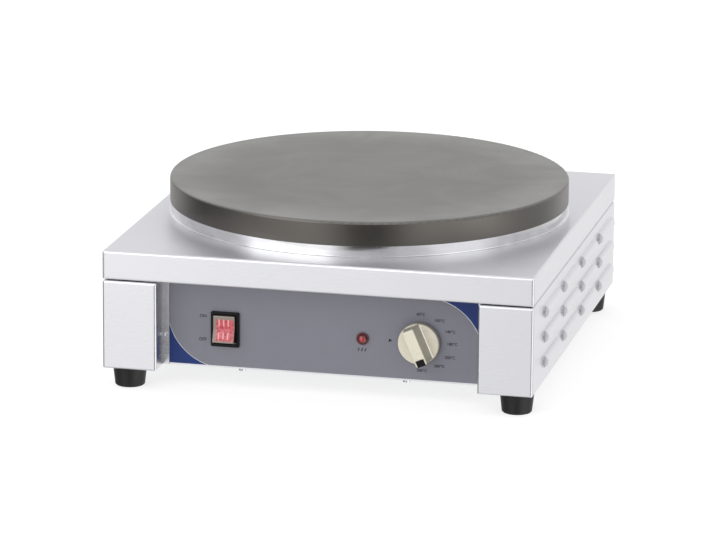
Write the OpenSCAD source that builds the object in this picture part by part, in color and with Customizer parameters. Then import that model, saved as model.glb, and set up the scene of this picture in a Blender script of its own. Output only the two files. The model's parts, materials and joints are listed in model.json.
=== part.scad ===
// Electric crepe maker: a square sheet steel cabinet on rubber feet, with a round cast iron
// cooking plate, a recessed control fascia, and the heater, thermostat and wiring inside.
// Millimetres. +Z is up, +Y is the rear, and the origin is on the table under the middle.

/* [Cabinet] */
// Width over the side panels
body_w = 426; // [416:1:460]
// Depth over the leg columns
body_d = 446; // [438:1:480]
// Height of the cabinet, from the underside of the legs to the top of the cover
cabinet_h = 118; // [112:1:140]
// Height of the cover's skirt
skirt_h = 28.5; // [22:0.5:36]
// Thickness of the stainless sheet
sheet_t = 1.2; // [0.8:0.1:1.5]
// Outside radius of the sheet's bends
bend_r = 2.2; // [1.8:0.1:3.5]
// Shadow gap between the skirt and the side panels
shadow_gap = 1.1; // [0.6:0.1:2]
// Width of a leg column's face
leg_w = 54; // [48:1:58]
// Depth from the leg columns' faces back to the fascia
recess = 30; // [28:1:36]
// Distance of the fascia's side screws below the controls' middle
side_screw_low = 9; // [0:0.5:15]
// Width of the flange strips that the fascia is screwed to
strip_w = 5.2; // [4.5:0.1:7]
// Width of the inward flanges on the side panels
flange_w = 18; // [14:1:24]
// Width of the upper flanges on the fascia and the rear panel
upper_flange = 10; // [8:0.5:11]
// Width of the inward return under the skirt, at the sides
return_w = 14; // [12:1:20]
// How far the front and rear returns reach in past the recess
return_lap = 4; // [3:1:6]
// Width and depth of the seams at the skirt's corners
seam_w = 0.4; // [0.2:0.1:0.6]

/* [Side louvres] */
// Louvres in a row
louvre_columns = 4; // [2:1:4]
// Rows of louvres
louvre_rows = 3; // [1:1:3]
// Length of a louvre
louvre_l = 78; // [60:1:84]
// Height of a louvre on the panel
louvre_h = 13; // [10:0.5:15]
// How far a louvre stands out
louvre_out = 4.5; // [3:0.5:6]
// Distance of the first louvres behind the leg columns' front faces
louvre_front = 53; // [48:1:60]
// Distance of the last louvres from the rear
louvre_rear = 19; // [14:1:30]
// Distance between the rows
louvre_pitch_z = 25; // [20:0.5:27]
// Height of the pattern's middle above the panel's middle
louvre_lift = 1.8; // [0:0.1:4]
// Height of a louvre's open slit
louvre_slit = 3.5; // [2:0.5:5]

/* [Feet] */
// Height of a rubber foot
foot_h = 22; // [16:1:30]
// Diameter of a foot at the cabinet
foot_top_d = 34; // [30:1:36]
// Diameter of a foot at the table
foot_sole_d = 29.3; // [25:0.1:32]
// Foot's centre, from the cabinet's side
foot_inset_x = 20; // [19:1:26]
// Foot's centre, from the cabinet's front and rear
foot_inset_y = 27; // [19:1:28]

/* [Cooking plate] */
// Diameter of the cooking plate
plate_d = 400; // [386:1:404]
// Height of the plate's rim
plate_h = 24; // [20:0.5:30]
// Thickness of the plate's web
web_t = 14; // [12:0.5:16]
// Width of the plate's rim
rim_w = 12; // [9:0.5:14]
// Radius of the plate's top edge
plate_edge_r = 2.5; // [1:0.5:4]
// Distance of the plate's centre behind the cabinet's centre
plate_back = 6; // [0:1:10]
// Height of the collar between the cover and the plate
collar_h = 12; // [10:0.5:18]
// How far the collar's foot stands out past the plate
collar_out = 1; // [0:0.5:3]
// Width of the collar's foot flange
collar_foot_w = 1.8; // [1.2:0.1:2.4]

/* [Heater] */
// Diameter of the heating element's tube
tube_d = 8.5; // [6.5:0.5:8.5]
// Radius of the inner element's loop
loop_r = 70; // [66:1:74]
// Depth of the insulation pan under the cover
pan_depth = 40; // [34:1:44]
// Clearance between the outer element and the pan's wall
pan_gap = 8; // [6:0.5:10]
// Clearance between the pan and the rear panel's upper flange
pan_clear = 3.55; // [2:0.05:6]
// Width of the pan's flange
pan_flange = 7; // [5:0.5:8]
// Thickness of the insulation disc
insulation_t = 34; // [24:1:38]
// Diameter of the plate's studs
stud_d = 8; // [6:1:8]
// Diameter of the element clamps' studs
clamp_stud_d = 6; // [5:1:6]
// Thickness of the element clamps
clamp_t = 3; // [2:0.5:4]
// Width of the element clamps
clamp_w = 24; // [18:1:30]
// Width of the bridges that carry the pan
bridge_w = 30; // [24:1:36]
// Thickness of the bridges
bridge_t = 2.5; // [2:0.5:3]
// Distance between the legs of a bridge
bridge_span = 320; // [290:5:340]
// Length of a bridge's foot
bridge_foot = 22; // [16:1:26]
// Radius of the thermostat's sensing bulb
bulb_r = 3; // [2:0.5:3.5]
// Length of the sensing bulb
bulb_l = 76; // [60:1:78]
// Radius of the capillary tube
capillary_r = 0.9; // [0.6:0.1:1.2]

/* [Fascia] */
// Height of the controls above the underside of the legs
control_h = 39.3; // [34:0.1:44]
// Thickness of the fascia film
film_t = 0.4; // [0.2:0.1:0.8]
// Height of the film's lower edge above the underside of the legs
film_low = 1.8; // [1.6:0.1:4]
// Bare steel above the film, up to the panel's top
film_high = 5.6; // [5:0.1:9]
// Length of a blue corner along the film's lower or upper edge
corner_x = 39.5; // [30:0.5:44]
// Length of the lower blue corner up the film's side
lower_corner_z = 41; // [30:0.5:44]
// Length of the upper blue corner down the film's side
upper_corner_z = 32.5; // [28:0.5:44]
// Radius of the arc between the grey field and the blue corners
corner_r = 56; // [44:1:90]
// Width of the bare line between the grey field and the blue corners
corner_gap = 0.7; // [0.3:0.1:1.5]

/* [Switch] */
// Switch's centre, in from the left leg column
switch_inset = 61.8; // [55:0.1:80]
// Width of the switch's bezel
bezel_w = 28.5; // [27:0.5:32]
// Height of the switch's bezel
bezel_h = 35; // [34:0.5:40]
// How far the bezel stands out of the film
bezel_out = 3; // [2:0.5:4]
// Width of the bezel's frame beside the rocker
frame_side = 3.25; // [3:0.05:5]
// Width of the bezel's frame above and below the rocker
frame_end = 3; // [2.5:0.1:5]
// How far the rocker's middle stands out of its pivot
rocker_face = 7; // [1.5:0.5:8]
// Angle that the rocker turns through
rocker_tilt = 20; // [12:1:24]
// Clearance round the rocker
rocker_gap = 0.3; // [0.2:0.1:0.6]
// Depth of the switch's housing behind the film
housing_depth = 25; // [20:1:30]

/* [Pilot lamp] */
// Lamp's centre, in from the right leg column
lamp_inset = 119.1; // [109:0.1:139]
// Diameter of the lens
lens_d = 10.4; // [9:0.1:12]
// Height of the lens's dome
lens_h = 3.6; // [2.5:0.1:5]
// Width of the ring round the lens
ring_w = 1; // [0.8:0.1:2]

/* [Thermostat] */
// Knob's centre, in from the right leg column
knob_inset = 62.8; // [55:0.1:80]
// Diameter of the knob
knob_d = 40.6; // [36:0.1:46]
// Thickness of the knob's disc
knob_t = 6; // [4:0.1:12]
// Gap between the knob and the film
knob_gap = 1.4; // [1.2:0.1:2]
// Distance of the grip's ends in from the knob's edge
grip_inset = 1.85; // [1:0.05:4]
// Width of the grip's face
grip_w = 11.7; // [10:0.1:16]
// Width of the grip where it meets the disc
grip_root_w = 16.1; // [13:0.1:20]
// Height of the grip over the disc
grip_h = 16.5; // [12:0.1:20]
// Angle of the grip's pointer, counterclockwise from the right
pointer_angle = -66.4; // [-90:0.1:180]
// Length of the black index at the pointer's end
index_l = 6.2; // [5:0.1:10]
// Width of the index
index_w = 8.3; // [5:0.1:10]
// Depth that the index is let into the grip
index_t = 5; // [3:0.5:7]
// How far the index stands proud of the grip
index_proud = 0.4; // [0.2:0.1:0.8]
// Diameter of the thermostat's spindle
spindle_d = 6; // [5:0.5:7]
// Radial running clearance of the spindle and the pivots
running_fit = 0.05; // [0.03:0.01:0.1]
// Distance between the thermostat's two screws
thermostat_pitch = 28; // [26:1:32]

/* [Rear] */
// Gland's centre, in from the right leg column
gland_inset = 49; // [44:1:79]
// Gland's height above the underside of the legs
gland_h = 30; // [24:1:40]
// Diameter of the cable opening in the gland
gland_bore_d = 9; // [7:0.5:10]
// Diameter of the gland's thread
gland_thread_d = 20; // [16:1:20]
// Earth stud's centre, in from the right leg column
earth_inset = 99; // [89:1:119]
// Length of the earth stud inside the rear panel
earth_in = 14; // [10:1:18]
// Length of the earth stud outside the rear panel
earth_out = 12; // [10:1:20]
// Terminal block's centre, in from the right leg column
terminal_inset = 59; // [49:1:69]
// Terminal block's centre, in front of the rear panel
terminal_back = 43; // [38:1:53]
// Distance between the block's poles
pole_pitch = 14; // [12:1:16]
// Depth of the terminal block
block_w = 22; // [20:1:26]
// Height of the terminal block
block_h = 18; // [16:1:22]
// Safety limiter's centre, in from the left leg column
limiter_inset = 39; // [29:1:49]
// Safety limiter's centre, in front of the rear panel
limiter_back = 43; // [38:1:53]
// Width of the safety limiter
limiter_w = 36; // [30:1:38]
// Depth and height of the safety limiter's body
limiter_d = 26; // [22:1:28]
// Height of the safety limiter above the base plate
limiter_up = 12; // [10:1:16]
// Radius of the inner wires
wire_r = 1.3; // [1:0.1:1.6]

/* [Screws] */
// Distance of the base screws from the middle of each side
base_screw_at = 82; // [60:1:100]
// Distance of the front and rear base screws in from the faces
base_screw_in = 7; // [6:0.5:9]
// Height of the base screws' heads
base_head_h = 4; // [2:0.5:4.5]
// Distance of the outer cover screws from the front and the rear
cover_screw_inset = 46; // [36:1:60]
// Diameter of the small screws
screw_d = 4; // [3:0.5:4]
// Diameter of their heads
screw_head_d = 8; // [7:0.5:9]
// Height of their heads
screw_head_h = 2; // [1.5:0.1:3]
// Diameter of the foot screws
foot_screw_d = 5; // [4:0.5:6]
// Clearance of a screw in its hole, on the diameter
hole_gap = 0.4; // [0.2:0.1:0.6]
// Radius of the fascia's two side screws' heads
side_head_r = 1.9; // [1.5:0.1:2.2]

/* [Hidden] */
$fn = 96;
eps = 0.05;

z_base = foot_h;
z_cover = z_base + cabinet_h;
z_skirt = z_cover - skirt_h;
side_top = z_skirt - shadow_gap;
side_h = side_top - z_base;
z_rim = z_cover + collar_h;
z_plate = z_rim + plate_h;
z_web = z_plate - web_t;
z_floor = z_base + 2 * sheet_t;
z_control = z_base + control_h;

half_w = body_w / 2;
half_d = body_d / 2;
leg_x = half_w - leg_w;
switch_x = leg_x - switch_inset;
lamp_x = leg_x - lamp_inset;
knob_x = leg_x - knob_inset;
gland_x = leg_x - gland_inset;
earth_x = leg_x - earth_inset;
terminal_x = leg_x - terminal_inset;
limiter_x = leg_x - limiter_inset;
panel_y = half_d - recess;
plate_r = plate_d / 2;
hole_d = screw_d + hole_gap;
screw_l = 2 * screw_d;

tube_r = tube_d / 2;
contact_gap = 0.2;
z_tube = z_web - contact_gap - tube_r;
z_clamp = z_tube - tube_r - clamp_t;
elbow_r = 14;
z_pan = z_cover - pan_depth;
pan_r = panel_y - upper_flange - plate_back - pan_clear;
loop_pitch = (pan_r - sheet_t - pan_gap - tube_r - loop_r) / 2;
loops = [for (i = [0:2]) loop_r + i * loop_pitch];
loop_open_deg = [44, 28, 19];
stud_circle_r = loop_r + 1.5 * loop_pitch;
boss_r = stud_d / 2 + 6.5;
boss_h = 6;
spacer_r = stud_d / 2 + 3;
stud_end = 12;
clamp_angles = [90, 210, 330];
bulb_angle = 67.5;
capillary_lead = 4;
pin_l = 6;
tab_l = 8;
tab_w = 6.3;
tab_t = 0.8;
pilot_depth = 22;
leg_end = z_pan - 6;
clamp_stud_rs = [for (i = [0:1]) loop_r + (i + 0.5) * loop_pitch];
clamp_end = 8;
nut_m5 = 4;
nut_m6 = 5;
nut_m8 = 6.5;

film_w = 2 * (leg_x - strip_w - contact_gap);
z_film = z_base + film_low;
film_h = side_h - film_low - film_high;
film_front = panel_y + film_t;

housing_wall = 1.5;
opening_w = bezel_w - 2 * frame_side;
opening_r = bezel_h / 2 - frame_end;
rocker_w = opening_w - 2 * rocker_gap;
rocker_r = opening_r - rocker_gap;
rocker_end = rocker_r - 0.9;
housing_w = opening_w + 2 * housing_wall;
housing_h = 2 * (opening_r + housing_wall);
pivot_r = 1.5;
pivot_l = 1.2;
rocker_back = 6;

lamp_hole_r = lens_d / 2 - 0.4;
grip_l = knob_d - 2 * grip_inset;
thermostat_w = 46;
thermostat_h = 38;
thermostat_depth = 30;
thermostat_plate_t = 1.5;
bush_r = spindle_d / 2 + 2.2;
hub_r = spindle_d / 2 + 3.2;

foot_places = [for (sx = [-1, 1]) for (sy = [-1, 1])
    [sx * (half_w - foot_inset_x), sy * (half_d - foot_inset_y)]];
base_screw_places = concat(
    [for (sx = [-1, 1]) for (sy = [-1, 1]) [sx * base_screw_at, sy * (panel_y - base_screw_in)]],
    [for (sx = [-1, 1]) for (sy = [-1, 1]) [sx * (half_w - flange_w / 2), sy * base_screw_at]]);
cover_screw_places = [for (sx = [-1, 1]) for (sy = [-1, 0, 1])
    [sx * (half_w - return_w / 2 - 1), sy * (half_d - cover_screw_inset)]];
stud_places = [for (a = [45:90:315])
    [stud_circle_r * cos(a), plate_back + stud_circle_r * sin(a)]];
terminal_y = panel_y - terminal_back;
limiter_y = panel_y - limiter_back;
bridge_ys = [for (s = [-1, 1]) plate_back + s * stud_circle_r * sin(45)];

// ---------- shared shapes ----------

// Rectangle with rounded corners, centred
module soft_rect(w, h, r) {
    square([w - 2 * r, h], center = true);
    square([w, h - 2 * r], center = true);
    for (sx = [-1, 1])
        for (sy = [-1, 1])
            translate([sx * (w / 2 - r), sy * (h / 2 - r)])
                circle(r, $fn = 48);
}

// Box with every edge rounded, standing on z = 0: three rounded outlines that meet
module soft_box(w, d, h, r) {
    intersection() {
        linear_extrude(h)
            soft_rect(w, d, r);
        translate([0, d / 2, h / 2])
            rotate([90, 0, 0])
                linear_extrude(d)
                    soft_rect(w, h, r);
        translate([-w / 2, 0, h / 2])
            rotate([90, 0, 90])
                linear_extrude(w)
                    soft_rect(d, h, r);
    }
}

// Box from one corner to the other
module span(low, high) {
    translate(low)
        cube(high - low);
}

module at_all(places, z) {
    for (p = places)
        translate([p[0], p[1], z])
            children();
}

// Hexagon nut on z = 0, with its hole
module nut(across, hole, h) {
    difference() {
        cylinder(d = across / cos(30), h = h, $fn = 6);
        translate([0, 0, -1])
            cylinder(d = hole, h = h + 2);
    }
}

// Pan head screw: the head hangs below z = 0 and the shank stands above it
module pan_screw(d, head_d, head_h, length) {
    cylinder(d = d, h = length);
    rotate([180, 0, 0])
        rotate_extrude()
            intersection() {
                translate([0, head_h - head_d])
                    circle(r = head_d);
                square([head_d / 2, head_h]);
            }
}

// Round bar from point a to point b
module bar(a, b, r) {
    v = b - a;
    l = norm(v);
    translate(a)
        rotate([0, acos(v[2] / l), atan2(v[1], v[0])])
            cylinder(r = r, h = l, $fn = 24);
}

// Corner cutting: each stretch keeps its middle half, so a chain of points turns into a curve
function eased(points) = concat([points[0]],
    [for (i = [0:len(points) - 2]) for (t = [0.25, 0.75])
        points[i] * (1 - t) + points[i + 1] * t],
    [points[len(points) - 1]]);

// Directions along a chain of points
function headings(points) = [for (i = [0:len(points) - 1])
    let (v = points[min(i + 1, len(points) - 1)] - points[max(i - 1, 0)]) v / norm(v)];

// Normals carried along the headings, so that a swept tube doesn't twist
function normals(dirs, i = 0, last = [0.31, 0.17, 0.94]) =
    let (n = last - (last * dirs[i]) * dirs[i], here = n / norm(n))
    i == len(dirs) - 1 ? [here] : concat([here], normals(dirs, i + 1, here));

// Wire: an eight-sided tube swept along a list of points, with its corners eased
module wire(points, r) {
    sides = 8;
    route = eased(points);
    dirs = headings(route);
    across = normals(dirs);
    rings = [for (i = [0:len(route) - 1]) for (k = [0:sides - 1])
        route[i] + r * (cos(k * 360 / sides) * across[i]
            + sin(k * 360 / sides) * cross(dirs[i], across[i]))];
    last = (len(route) - 1) * sides;
    walls = [for (i = [0:len(route) - 2]) for (k = [0:sides - 1])
        [i * sides + k, i * sides + (k + 1) % sides,
            (i + 1) * sides + (k + 1) % sides, (i + 1) * sides + k]];
    start = [for (k = [0:sides - 1]) sides - 1 - k];
    end = [for (k = [0:sides - 1]) last + k];
    polyhedron(rings, [for (face = concat([start], walls, [end]))
        [for (k = [len(face) - 1:-1:0]) face[k]]], convexity = 6);
}

// Places children on the front of the film: x to the right, y up and z out of the fascia
module on_fascia(x, out = 0) {
    translate([x, -film_front - out, z_control])
        rotate([90, 0, 0])
            children();
}

// ---------- cooking plate and collar ----------

module plate_profile() {
    difference() {
        union() {
            square([plate_r - plate_edge_r, plate_h]);
            square([plate_r, plate_h - plate_edge_r]);
            translate([plate_r - plate_edge_r, plate_h - plate_edge_r])
                circle(plate_edge_r, $fn = 64);
        }
        translate([-1, -1])
            square([plate_r - rim_w + 1, plate_h - web_t + 1]);
    }
}

module cooking_plate() {
    color([0.2, 0.19, 0.19])
    difference() {
        union() {
            translate([0, plate_back, z_rim])
                rotate_extrude($fn = 180)
                    plate_profile();
            at_all(stud_places, z_web - boss_h)
                cylinder(r = boss_r, h = boss_h + 1);
        }
        at_all(stud_places, z_web - boss_h - 1)
            cylinder(d = stud_d, h = stud_end + 1);
        clamp_places(z_web - 1)
            cylinder(d = clamp_stud_d, h = clamp_end + 1);
    }
}

module plate_collar() {
    foot_r = plate_r + collar_out;
    wall_r = foot_r - collar_foot_w;
    color([0.86, 0.87, 0.89])
    translate([0, plate_back, z_cover])
        rotate_extrude($fn = 180)
            difference() {
                union() {
                    translate([wall_r - sheet_t, 0])
                        square([sheet_t, collar_h]);
                    translate([wall_r - sheet_t, 0])
                        square([sheet_t + collar_foot_w, sheet_t]);
                    translate([wall_r - eps, sheet_t - eps])
                        square([collar_foot_w / 2, collar_foot_w / 2]);
                }
                translate([wall_r + collar_foot_w / 2, sheet_t + collar_foot_w / 2])
                    circle(r = collar_foot_w / 2, $fn = 48);
            }
}

// ---------- cabinet ----------

module top_cover() {
    color([0.84, 0.85, 0.87])
    difference() {
        translate([0, 0, z_skirt])
            soft_box(body_w, body_d, skirt_h, bend_r);
        translate([0, 0, z_skirt + sheet_t])
            soft_box(body_w - 2 * sheet_t, body_d - 2 * sheet_t, skirt_h - 2 * sheet_t,
                bend_r - sheet_t);
        span([return_w - half_w, return_lap - panel_y, z_skirt - 1],
            [half_w - return_w, panel_y - return_lap, z_skirt + sheet_t + 1]);
        for (sx = [-1, 1])
            for (sy = [-1, 1])
                translate([sx * (half_w - bend_r), sy * half_d, z_skirt + skirt_h / 2])
                    cube([seam_w, 2 * seam_w, skirt_h - 2 * bend_r], center = true);
        translate([0, plate_back, z_cover - 2 * sheet_t])
            cylinder(r = pan_r + 1.3, h = 3 * sheet_t, $fn = 180);
        at_all(cover_screw_places, z_skirt - 1)
            cylinder(d = hole_d, h = sheet_t + 2);
    }
}

// Louvre as a bar along +Y from the origin with blunt round ends: the ends' radius is less
// than the bar's by the depth that the bar is sunk
module capsule(r, sunk) {
    end_r = r - sunk;
    straight = louvre_l - 2 * louvre_out;
    translate([0, louvre_out, 0])
        rotate([-90, 0, 0])
            rotate_extrude($fn = 48)
                intersection() {
                    union() {
                        square([r, straight]);
                        translate([0, -end_r])
                            square([sunk, straight + 2 * end_r]);
                        for (at = [0, straight])
                            translate([sunk, at])
                                circle(end_r);
                    }
                    translate([0, -end_r])
                        square([r, straight + 2 * end_r]);
                }
}

module louvre_places() {
    pitch_y = (body_d - louvre_front - louvre_rear - louvre_l) / max(1, louvre_columns - 1);
    mid_z = z_base + side_h / 2 + louvre_lift;
    for (i = [0:louvre_columns - 1])
        for (j = [0:louvre_rows - 1])
            translate([half_w, louvre_front - half_d + i * pitch_y,
                    mid_z + (j - (louvre_rows - 1) / 2) * louvre_pitch_z])
                children();
}

module side_panel() {
    louvre_r = (louvre_out * louvre_out + louvre_h * louvre_h / 4) / (2 * louvre_out);
    sunk = louvre_r - louvre_out;
    difference() {
        union() {
            difference() {
                translate([half_w - leg_w / 2, 0, z_base])
                    soft_box(leg_w, body_d, side_h, bend_r);
                translate([half_w - leg_w / 2, 0, z_base + sheet_t])
                    soft_box(leg_w - 2 * sheet_t, body_d - 2 * sheet_t, side_h - 2 * sheet_t,
                        bend_r - sheet_t);
                span([leg_x - 1, -panel_y, z_base - 1],
                    [half_w - flange_w, panel_y, side_top + 1]);
            }
            for (s = [-1, 1])
                span([leg_x - strip_w, min(s * panel_y, s * (panel_y + sheet_t)), z_base],
                    [leg_x + sheet_t, max(s * panel_y, s * (panel_y + sheet_t)),
                        side_top - bend_r]);
            intersection() {
                louvre_places()
                    translate([-sunk, 0, 0])
                        capsule(louvre_r, sunk);
                span([half_w - sheet_t / 2, -half_d, z_base], [half_w + 20, half_d, side_top]);
            }
        }
        louvre_places()
            translate([-sunk, 0, 0])
                capsule(louvre_r - sheet_t, sunk);
        louvre_places()
            span([0, louvre_h / 2, -louvre_h / 2 - 1],
                [louvre_out + 1, louvre_l - louvre_h / 2, louvre_slit - louvre_h / 2]);
        for (p = foot_places)
            translate([p[0], p[1], z_base - 1])
                cylinder(d = foot_screw_d + hole_gap, h = sheet_t + 2);
        at_all(base_screw_places, z_base - 1)
            cylinder(d = hole_d, h = sheet_t + 2);
        at_all(cover_screw_places, side_top - sheet_t - 1)
            cylinder(d = hole_d, h = sheet_t + 2);
        side_screw_places()
            translate([0, 0, -1])
                cylinder(r = side_head_r / 2 + hole_gap / 2, h = sheet_t + 2);
    }
}

module right_side_panel() {
    color([0.82, 0.83, 0.86])
        side_panel();
}

module left_side_panel() {
    color([0.82, 0.83, 0.86])
    mirror([1, 0, 0])
        side_panel();
}

// The fascia's and rear panel's side screws: z runs out of the panel's face
module side_screw_places() {
    for (front = [0, 180])
        rotate([0, 0, front])
            for (s = [-1, 1])
                translate([s * (leg_x - strip_w / 2), -panel_y, z_control - side_screw_low])
                    rotate([90, 0, 0])
                        children();
}

// Sheet between the leg columns, with its upper and lower flanges turned inwards
module recessed_sheet() {
    w = 2 * leg_x - 1;
    difference() {
        union() {
            span([-w / 2, -panel_y, z_base], [w / 2, sheet_t - panel_y, side_top]);
            span([-w / 2, -panel_y, z_base], [w / 2, flange_w - panel_y, z_base + sheet_t]);
            span([-w / 2, -panel_y, side_top - sheet_t],
                [w / 2, upper_flange - panel_y, side_top]);
        }
        at_all(base_screw_places, z_base - 1)
            cylinder(d = hole_d, h = sheet_t + 2);
        side_screw_places()
            translate([0, 0, -sheet_t - 1])
                cylinder(r = side_head_r / 2 + hole_gap / 2, h = sheet_t + 2);
    }
}

module fascia_panel() {
    color([0.8, 0.81, 0.83])
    difference() {
        recessed_sheet();
        fascia_holes();
    }
}

// The openings for the controls, through the film and the fascia
module fascia_holes() {
    depth = film_t + sheet_t + 2;
    on_fascia(-switch_x, 1 - depth)
        linear_extrude(depth)
            square([housing_w + hole_gap, housing_h + hole_gap], center = true);
    on_fascia(lamp_x, 1 - depth)
        cylinder(r = lamp_hole_r + hole_gap / 2, h = depth);
    on_fascia(knob_x, 1 - depth) {
        cylinder(r = bush_r + hole_gap / 2, h = depth);
        for (s = [-1, 1])
            translate([s * thermostat_pitch / 2, 0, 0])
                cylinder(d = hole_d, h = depth);
    }
}

module rear_panel() {
    color([0.8, 0.81, 0.83])
    difference() {
        rotate([0, 0, 180])
            recessed_sheet();
        translate([gland_x, panel_y + 1, z_base + gland_h])
            rotate([90, 0, 0])
                cylinder(d = gland_thread_d + hole_gap, h = sheet_t + 2);
        translate([earth_x, panel_y + 1, z_base + gland_h])
            rotate([90, 0, 0])
                cylinder(d = foot_screw_d + hole_gap, h = sheet_t + 2);
    }
}

module base_plate() {
    slot_l = 60;
    slot_w = 5;
    slot_x = 72;
    slot_pitch = 16;
    color([0.72, 0.73, 0.75])
    difference() {
        span([sheet_t + 1 - half_w, 3 * sheet_t - panel_y, z_base + sheet_t],
            [half_w - sheet_t - 1, panel_y - 3 * sheet_t, z_floor]);
        at_all(base_screw_places, z_base)
            cylinder(d = hole_d, h = 3 * sheet_t);
        for (sx = [-1, 1])
            for (i = [-3:3])
                translate([sx * slot_x, i * slot_pitch, z_base + sheet_t - 1])
                    linear_extrude(sheet_t + 2)
                        soft_rect(slot_l, slot_w, slot_w / 2 - 0.01);
        bridge_screw_places(z_base)
            cylinder(d = hole_d, h = 3 * sheet_t);
    }
}

module rubber_foot(i) {
    chamfer = 1.2;
    color([0.13, 0.13, 0.13])
    translate([foot_places[i][0], foot_places[i][1], 0])
        difference() {
            rotate_extrude()
                difference() {
                    polygon([[0, 0], [foot_sole_d / 2 - chamfer, 0], [foot_sole_d / 2, chamfer],
                        [foot_top_d / 2, foot_h], [0, foot_h]]);
                    square([foot_screw_d + 1.5, foot_h / 2]);
                }
            cylinder(d = foot_screw_d + hole_gap, h = foot_h + 1);
        }
}

module front_left_foot() {
    rubber_foot(0);
}

module rear_left_foot() {
    rubber_foot(1);
}

module front_right_foot() {
    rubber_foot(2);
}

module rear_right_foot() {
    rubber_foot(3);
}

module foot_screws() {
    color("silver")
    at_all(foot_places, foot_h / 2)
        difference() {
            pan_screw(foot_screw_d, 2 * foot_screw_d, 0.6 * foot_screw_d,
                foot_h / 2 + sheet_t + 5);
            translate([0, 0, -0.6 * foot_screw_d - 1])
                cylinder(d = 3, h = 2.6, $fn = 6);
        }
}

module foot_nuts() {
    color("silver")
    at_all(foot_places, z_base + sheet_t)
        nut(foot_screw_d + 3, foot_screw_d, nut_m5);
}

module base_screws() {
    color("silver")
    at_all(base_screw_places, z_base)
        pan_screw(screw_d, screw_head_d, base_head_h, screw_l);
}

module cover_spacers() {
    color("silver")
    at_all(cover_screw_places, side_top)
        difference() {
            cylinder(d = screw_head_d, h = shadow_gap);
            translate([0, 0, -1])
                cylinder(d = hole_d, h = shadow_gap + 2);
        }
}

module cover_screws() {
    color("silver")
    at_all(cover_screw_places, side_top - sheet_t)
        pan_screw(screw_d, screw_head_d, screw_head_h, 2 * sheet_t + shadow_gap + 4);
}

module side_screws(front) {
    color("silver")
    rotate([0, 0, front])
        for (s = [-1, 1])
            translate([s * (leg_x - strip_w / 2), -panel_y - sheet_t,
                    z_control - side_screw_low])
                rotate([-90, 0, 0])
                    pan_screw(side_head_r, 2 * side_head_r, 1, 2 * sheet_t + 4);
}

module fascia_screws() {
    side_screws(0);
}

module rear_panel_screws() {
    side_screws(180);
}

// ---------- fascia film ----------

// Centre of the arc that cuts the lower left corner to a height, from that corner
function arc_centre(height) =
    let (half_chord = norm([corner_x, height]) / 2,
        depth = sqrt(corner_r * corner_r - half_chord * half_chord))
    [corner_x / 2 + depth * height / (2 * half_chord),
        height / 2 + depth * corner_x / (2 * half_chord)];

// Lower left corner of the film outside an arc of the given radius, film centred on 0
module corner_field(r, height) {
    difference() {
        translate([-film_w / 2, -film_h / 2])
            square([corner_x + 1, height + 1]);
        translate([-film_w / 2, -film_h / 2] + arc_centre(height))
            circle(r, $fn = 180);
    }
}

// The film's lower left and upper right corners outside arcs of the given radius
module corner_fields(r) {
    corner_field(r, lower_corner_z);
    rotate(180)
        corner_field(r, upper_corner_z);
}

module film_placed() {
    translate([0, -panel_y, z_film + film_h / 2])
        rotate([90, 0, 0])
            linear_extrude(film_t)
                children();
}

module fascia_film() {
    color([0.5, 0.5, 0.53])
    difference() {
        film_placed()
            difference() {
                square([film_w, film_h], center = true);
                corner_fields(corner_r);
            }
        fascia_holes();
        on_fascia(knob_x, -film_t - 1)
            for (s = [-1, 1])
                translate([s * thermostat_pitch / 2, 0, 0])
                    cylinder(d = screw_head_d, h = film_t + 2);
    }
}

module corner_decals() {
    color([0.11, 0.23, 0.49])
    film_placed()
        corner_fields(corner_r + corner_gap);
}

// ---------- rocker switch ----------

module switch_housing() {
    floor_depth = rocker_back + 4;
    color([0.05, 0.05, 0.05])
    on_fascia(-switch_x)
        difference() {
            union() {
                linear_extrude(bezel_out)
                    soft_rect(bezel_w, bezel_h, 1.5);
                translate([0, 0, -housing_depth])
                    linear_extrude(housing_depth + 1)
                        square([housing_w, housing_h], center = true);
            }
            translate([-opening_w / 2, -opening_r, -film_t])
                cube([opening_w, 2 * opening_r, bezel_out + film_t + 1]);
            intersection() {
                translate([-opening_w / 2, 0, -film_t])
                    rotate([0, 90, 0])
                        cylinder(r = opening_r, h = opening_w);
                translate([0, 0, -floor_depth])
                    linear_extrude(floor_depth + bezel_out)
                        square(3 * opening_r, center = true);
            }
            translate([-opening_w / 2 - pivot_l - running_fit, 0, -film_t])
                rotate([0, 90, 0])
                    cylinder(r = pivot_r + running_fit,
                        h = opening_w + 2 * (pivot_l + running_fit));
        }
}

// Side view of the rocker about its pivot: x out of the fascia, y up
module rocker_profile() {
    end_out = rocker_face + rocker_end * tan(rocker_tilt / 2);
    intersection() {
        circle(rocker_r, $fn = 120);
        translate([-rocker_back, -rocker_r])
            square([rocker_back + eps, 2 * rocker_r]);
    }
    polygon([[0, -rocker_end], [end_out, -rocker_end], [rocker_face, 0],
        [end_out, rocker_end], [0, rocker_end]]);
}

module switch_rocker() {
    rib_l = 7;
    rib_w = 1.6;
    rib_out = 0.5;
    rib_pitch = 4.6;
    half = rocker_tilt / 2;
    color([0.8, 0.15, 0.18])
    on_fascia(-switch_x, -film_t)
        rotate([-half, 0, 0]) {
            translate([-rocker_w / 2, 0, 0])
                rotate([90, 0, 90])
                    linear_extrude(rocker_w)
                        mirror([1, -1])
                            rocker_profile();
            rotate([0, 90, 0])
                cylinder(r = pivot_r, h = rocker_w + 2 * (rocker_gap + pivot_l), center = true);
            for (s = [-1, 1])
                translate([0, 0, rocker_face])
                    rotate([s * half, 0, 0])
                        for (i = [-1:1])
                            translate([i * rib_pitch - rib_w / 2, s > 0 ? 3 : -3 - rib_l, -1])
                                cube([rib_w, rib_l, 1 + rib_out]);
        }
}

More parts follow.
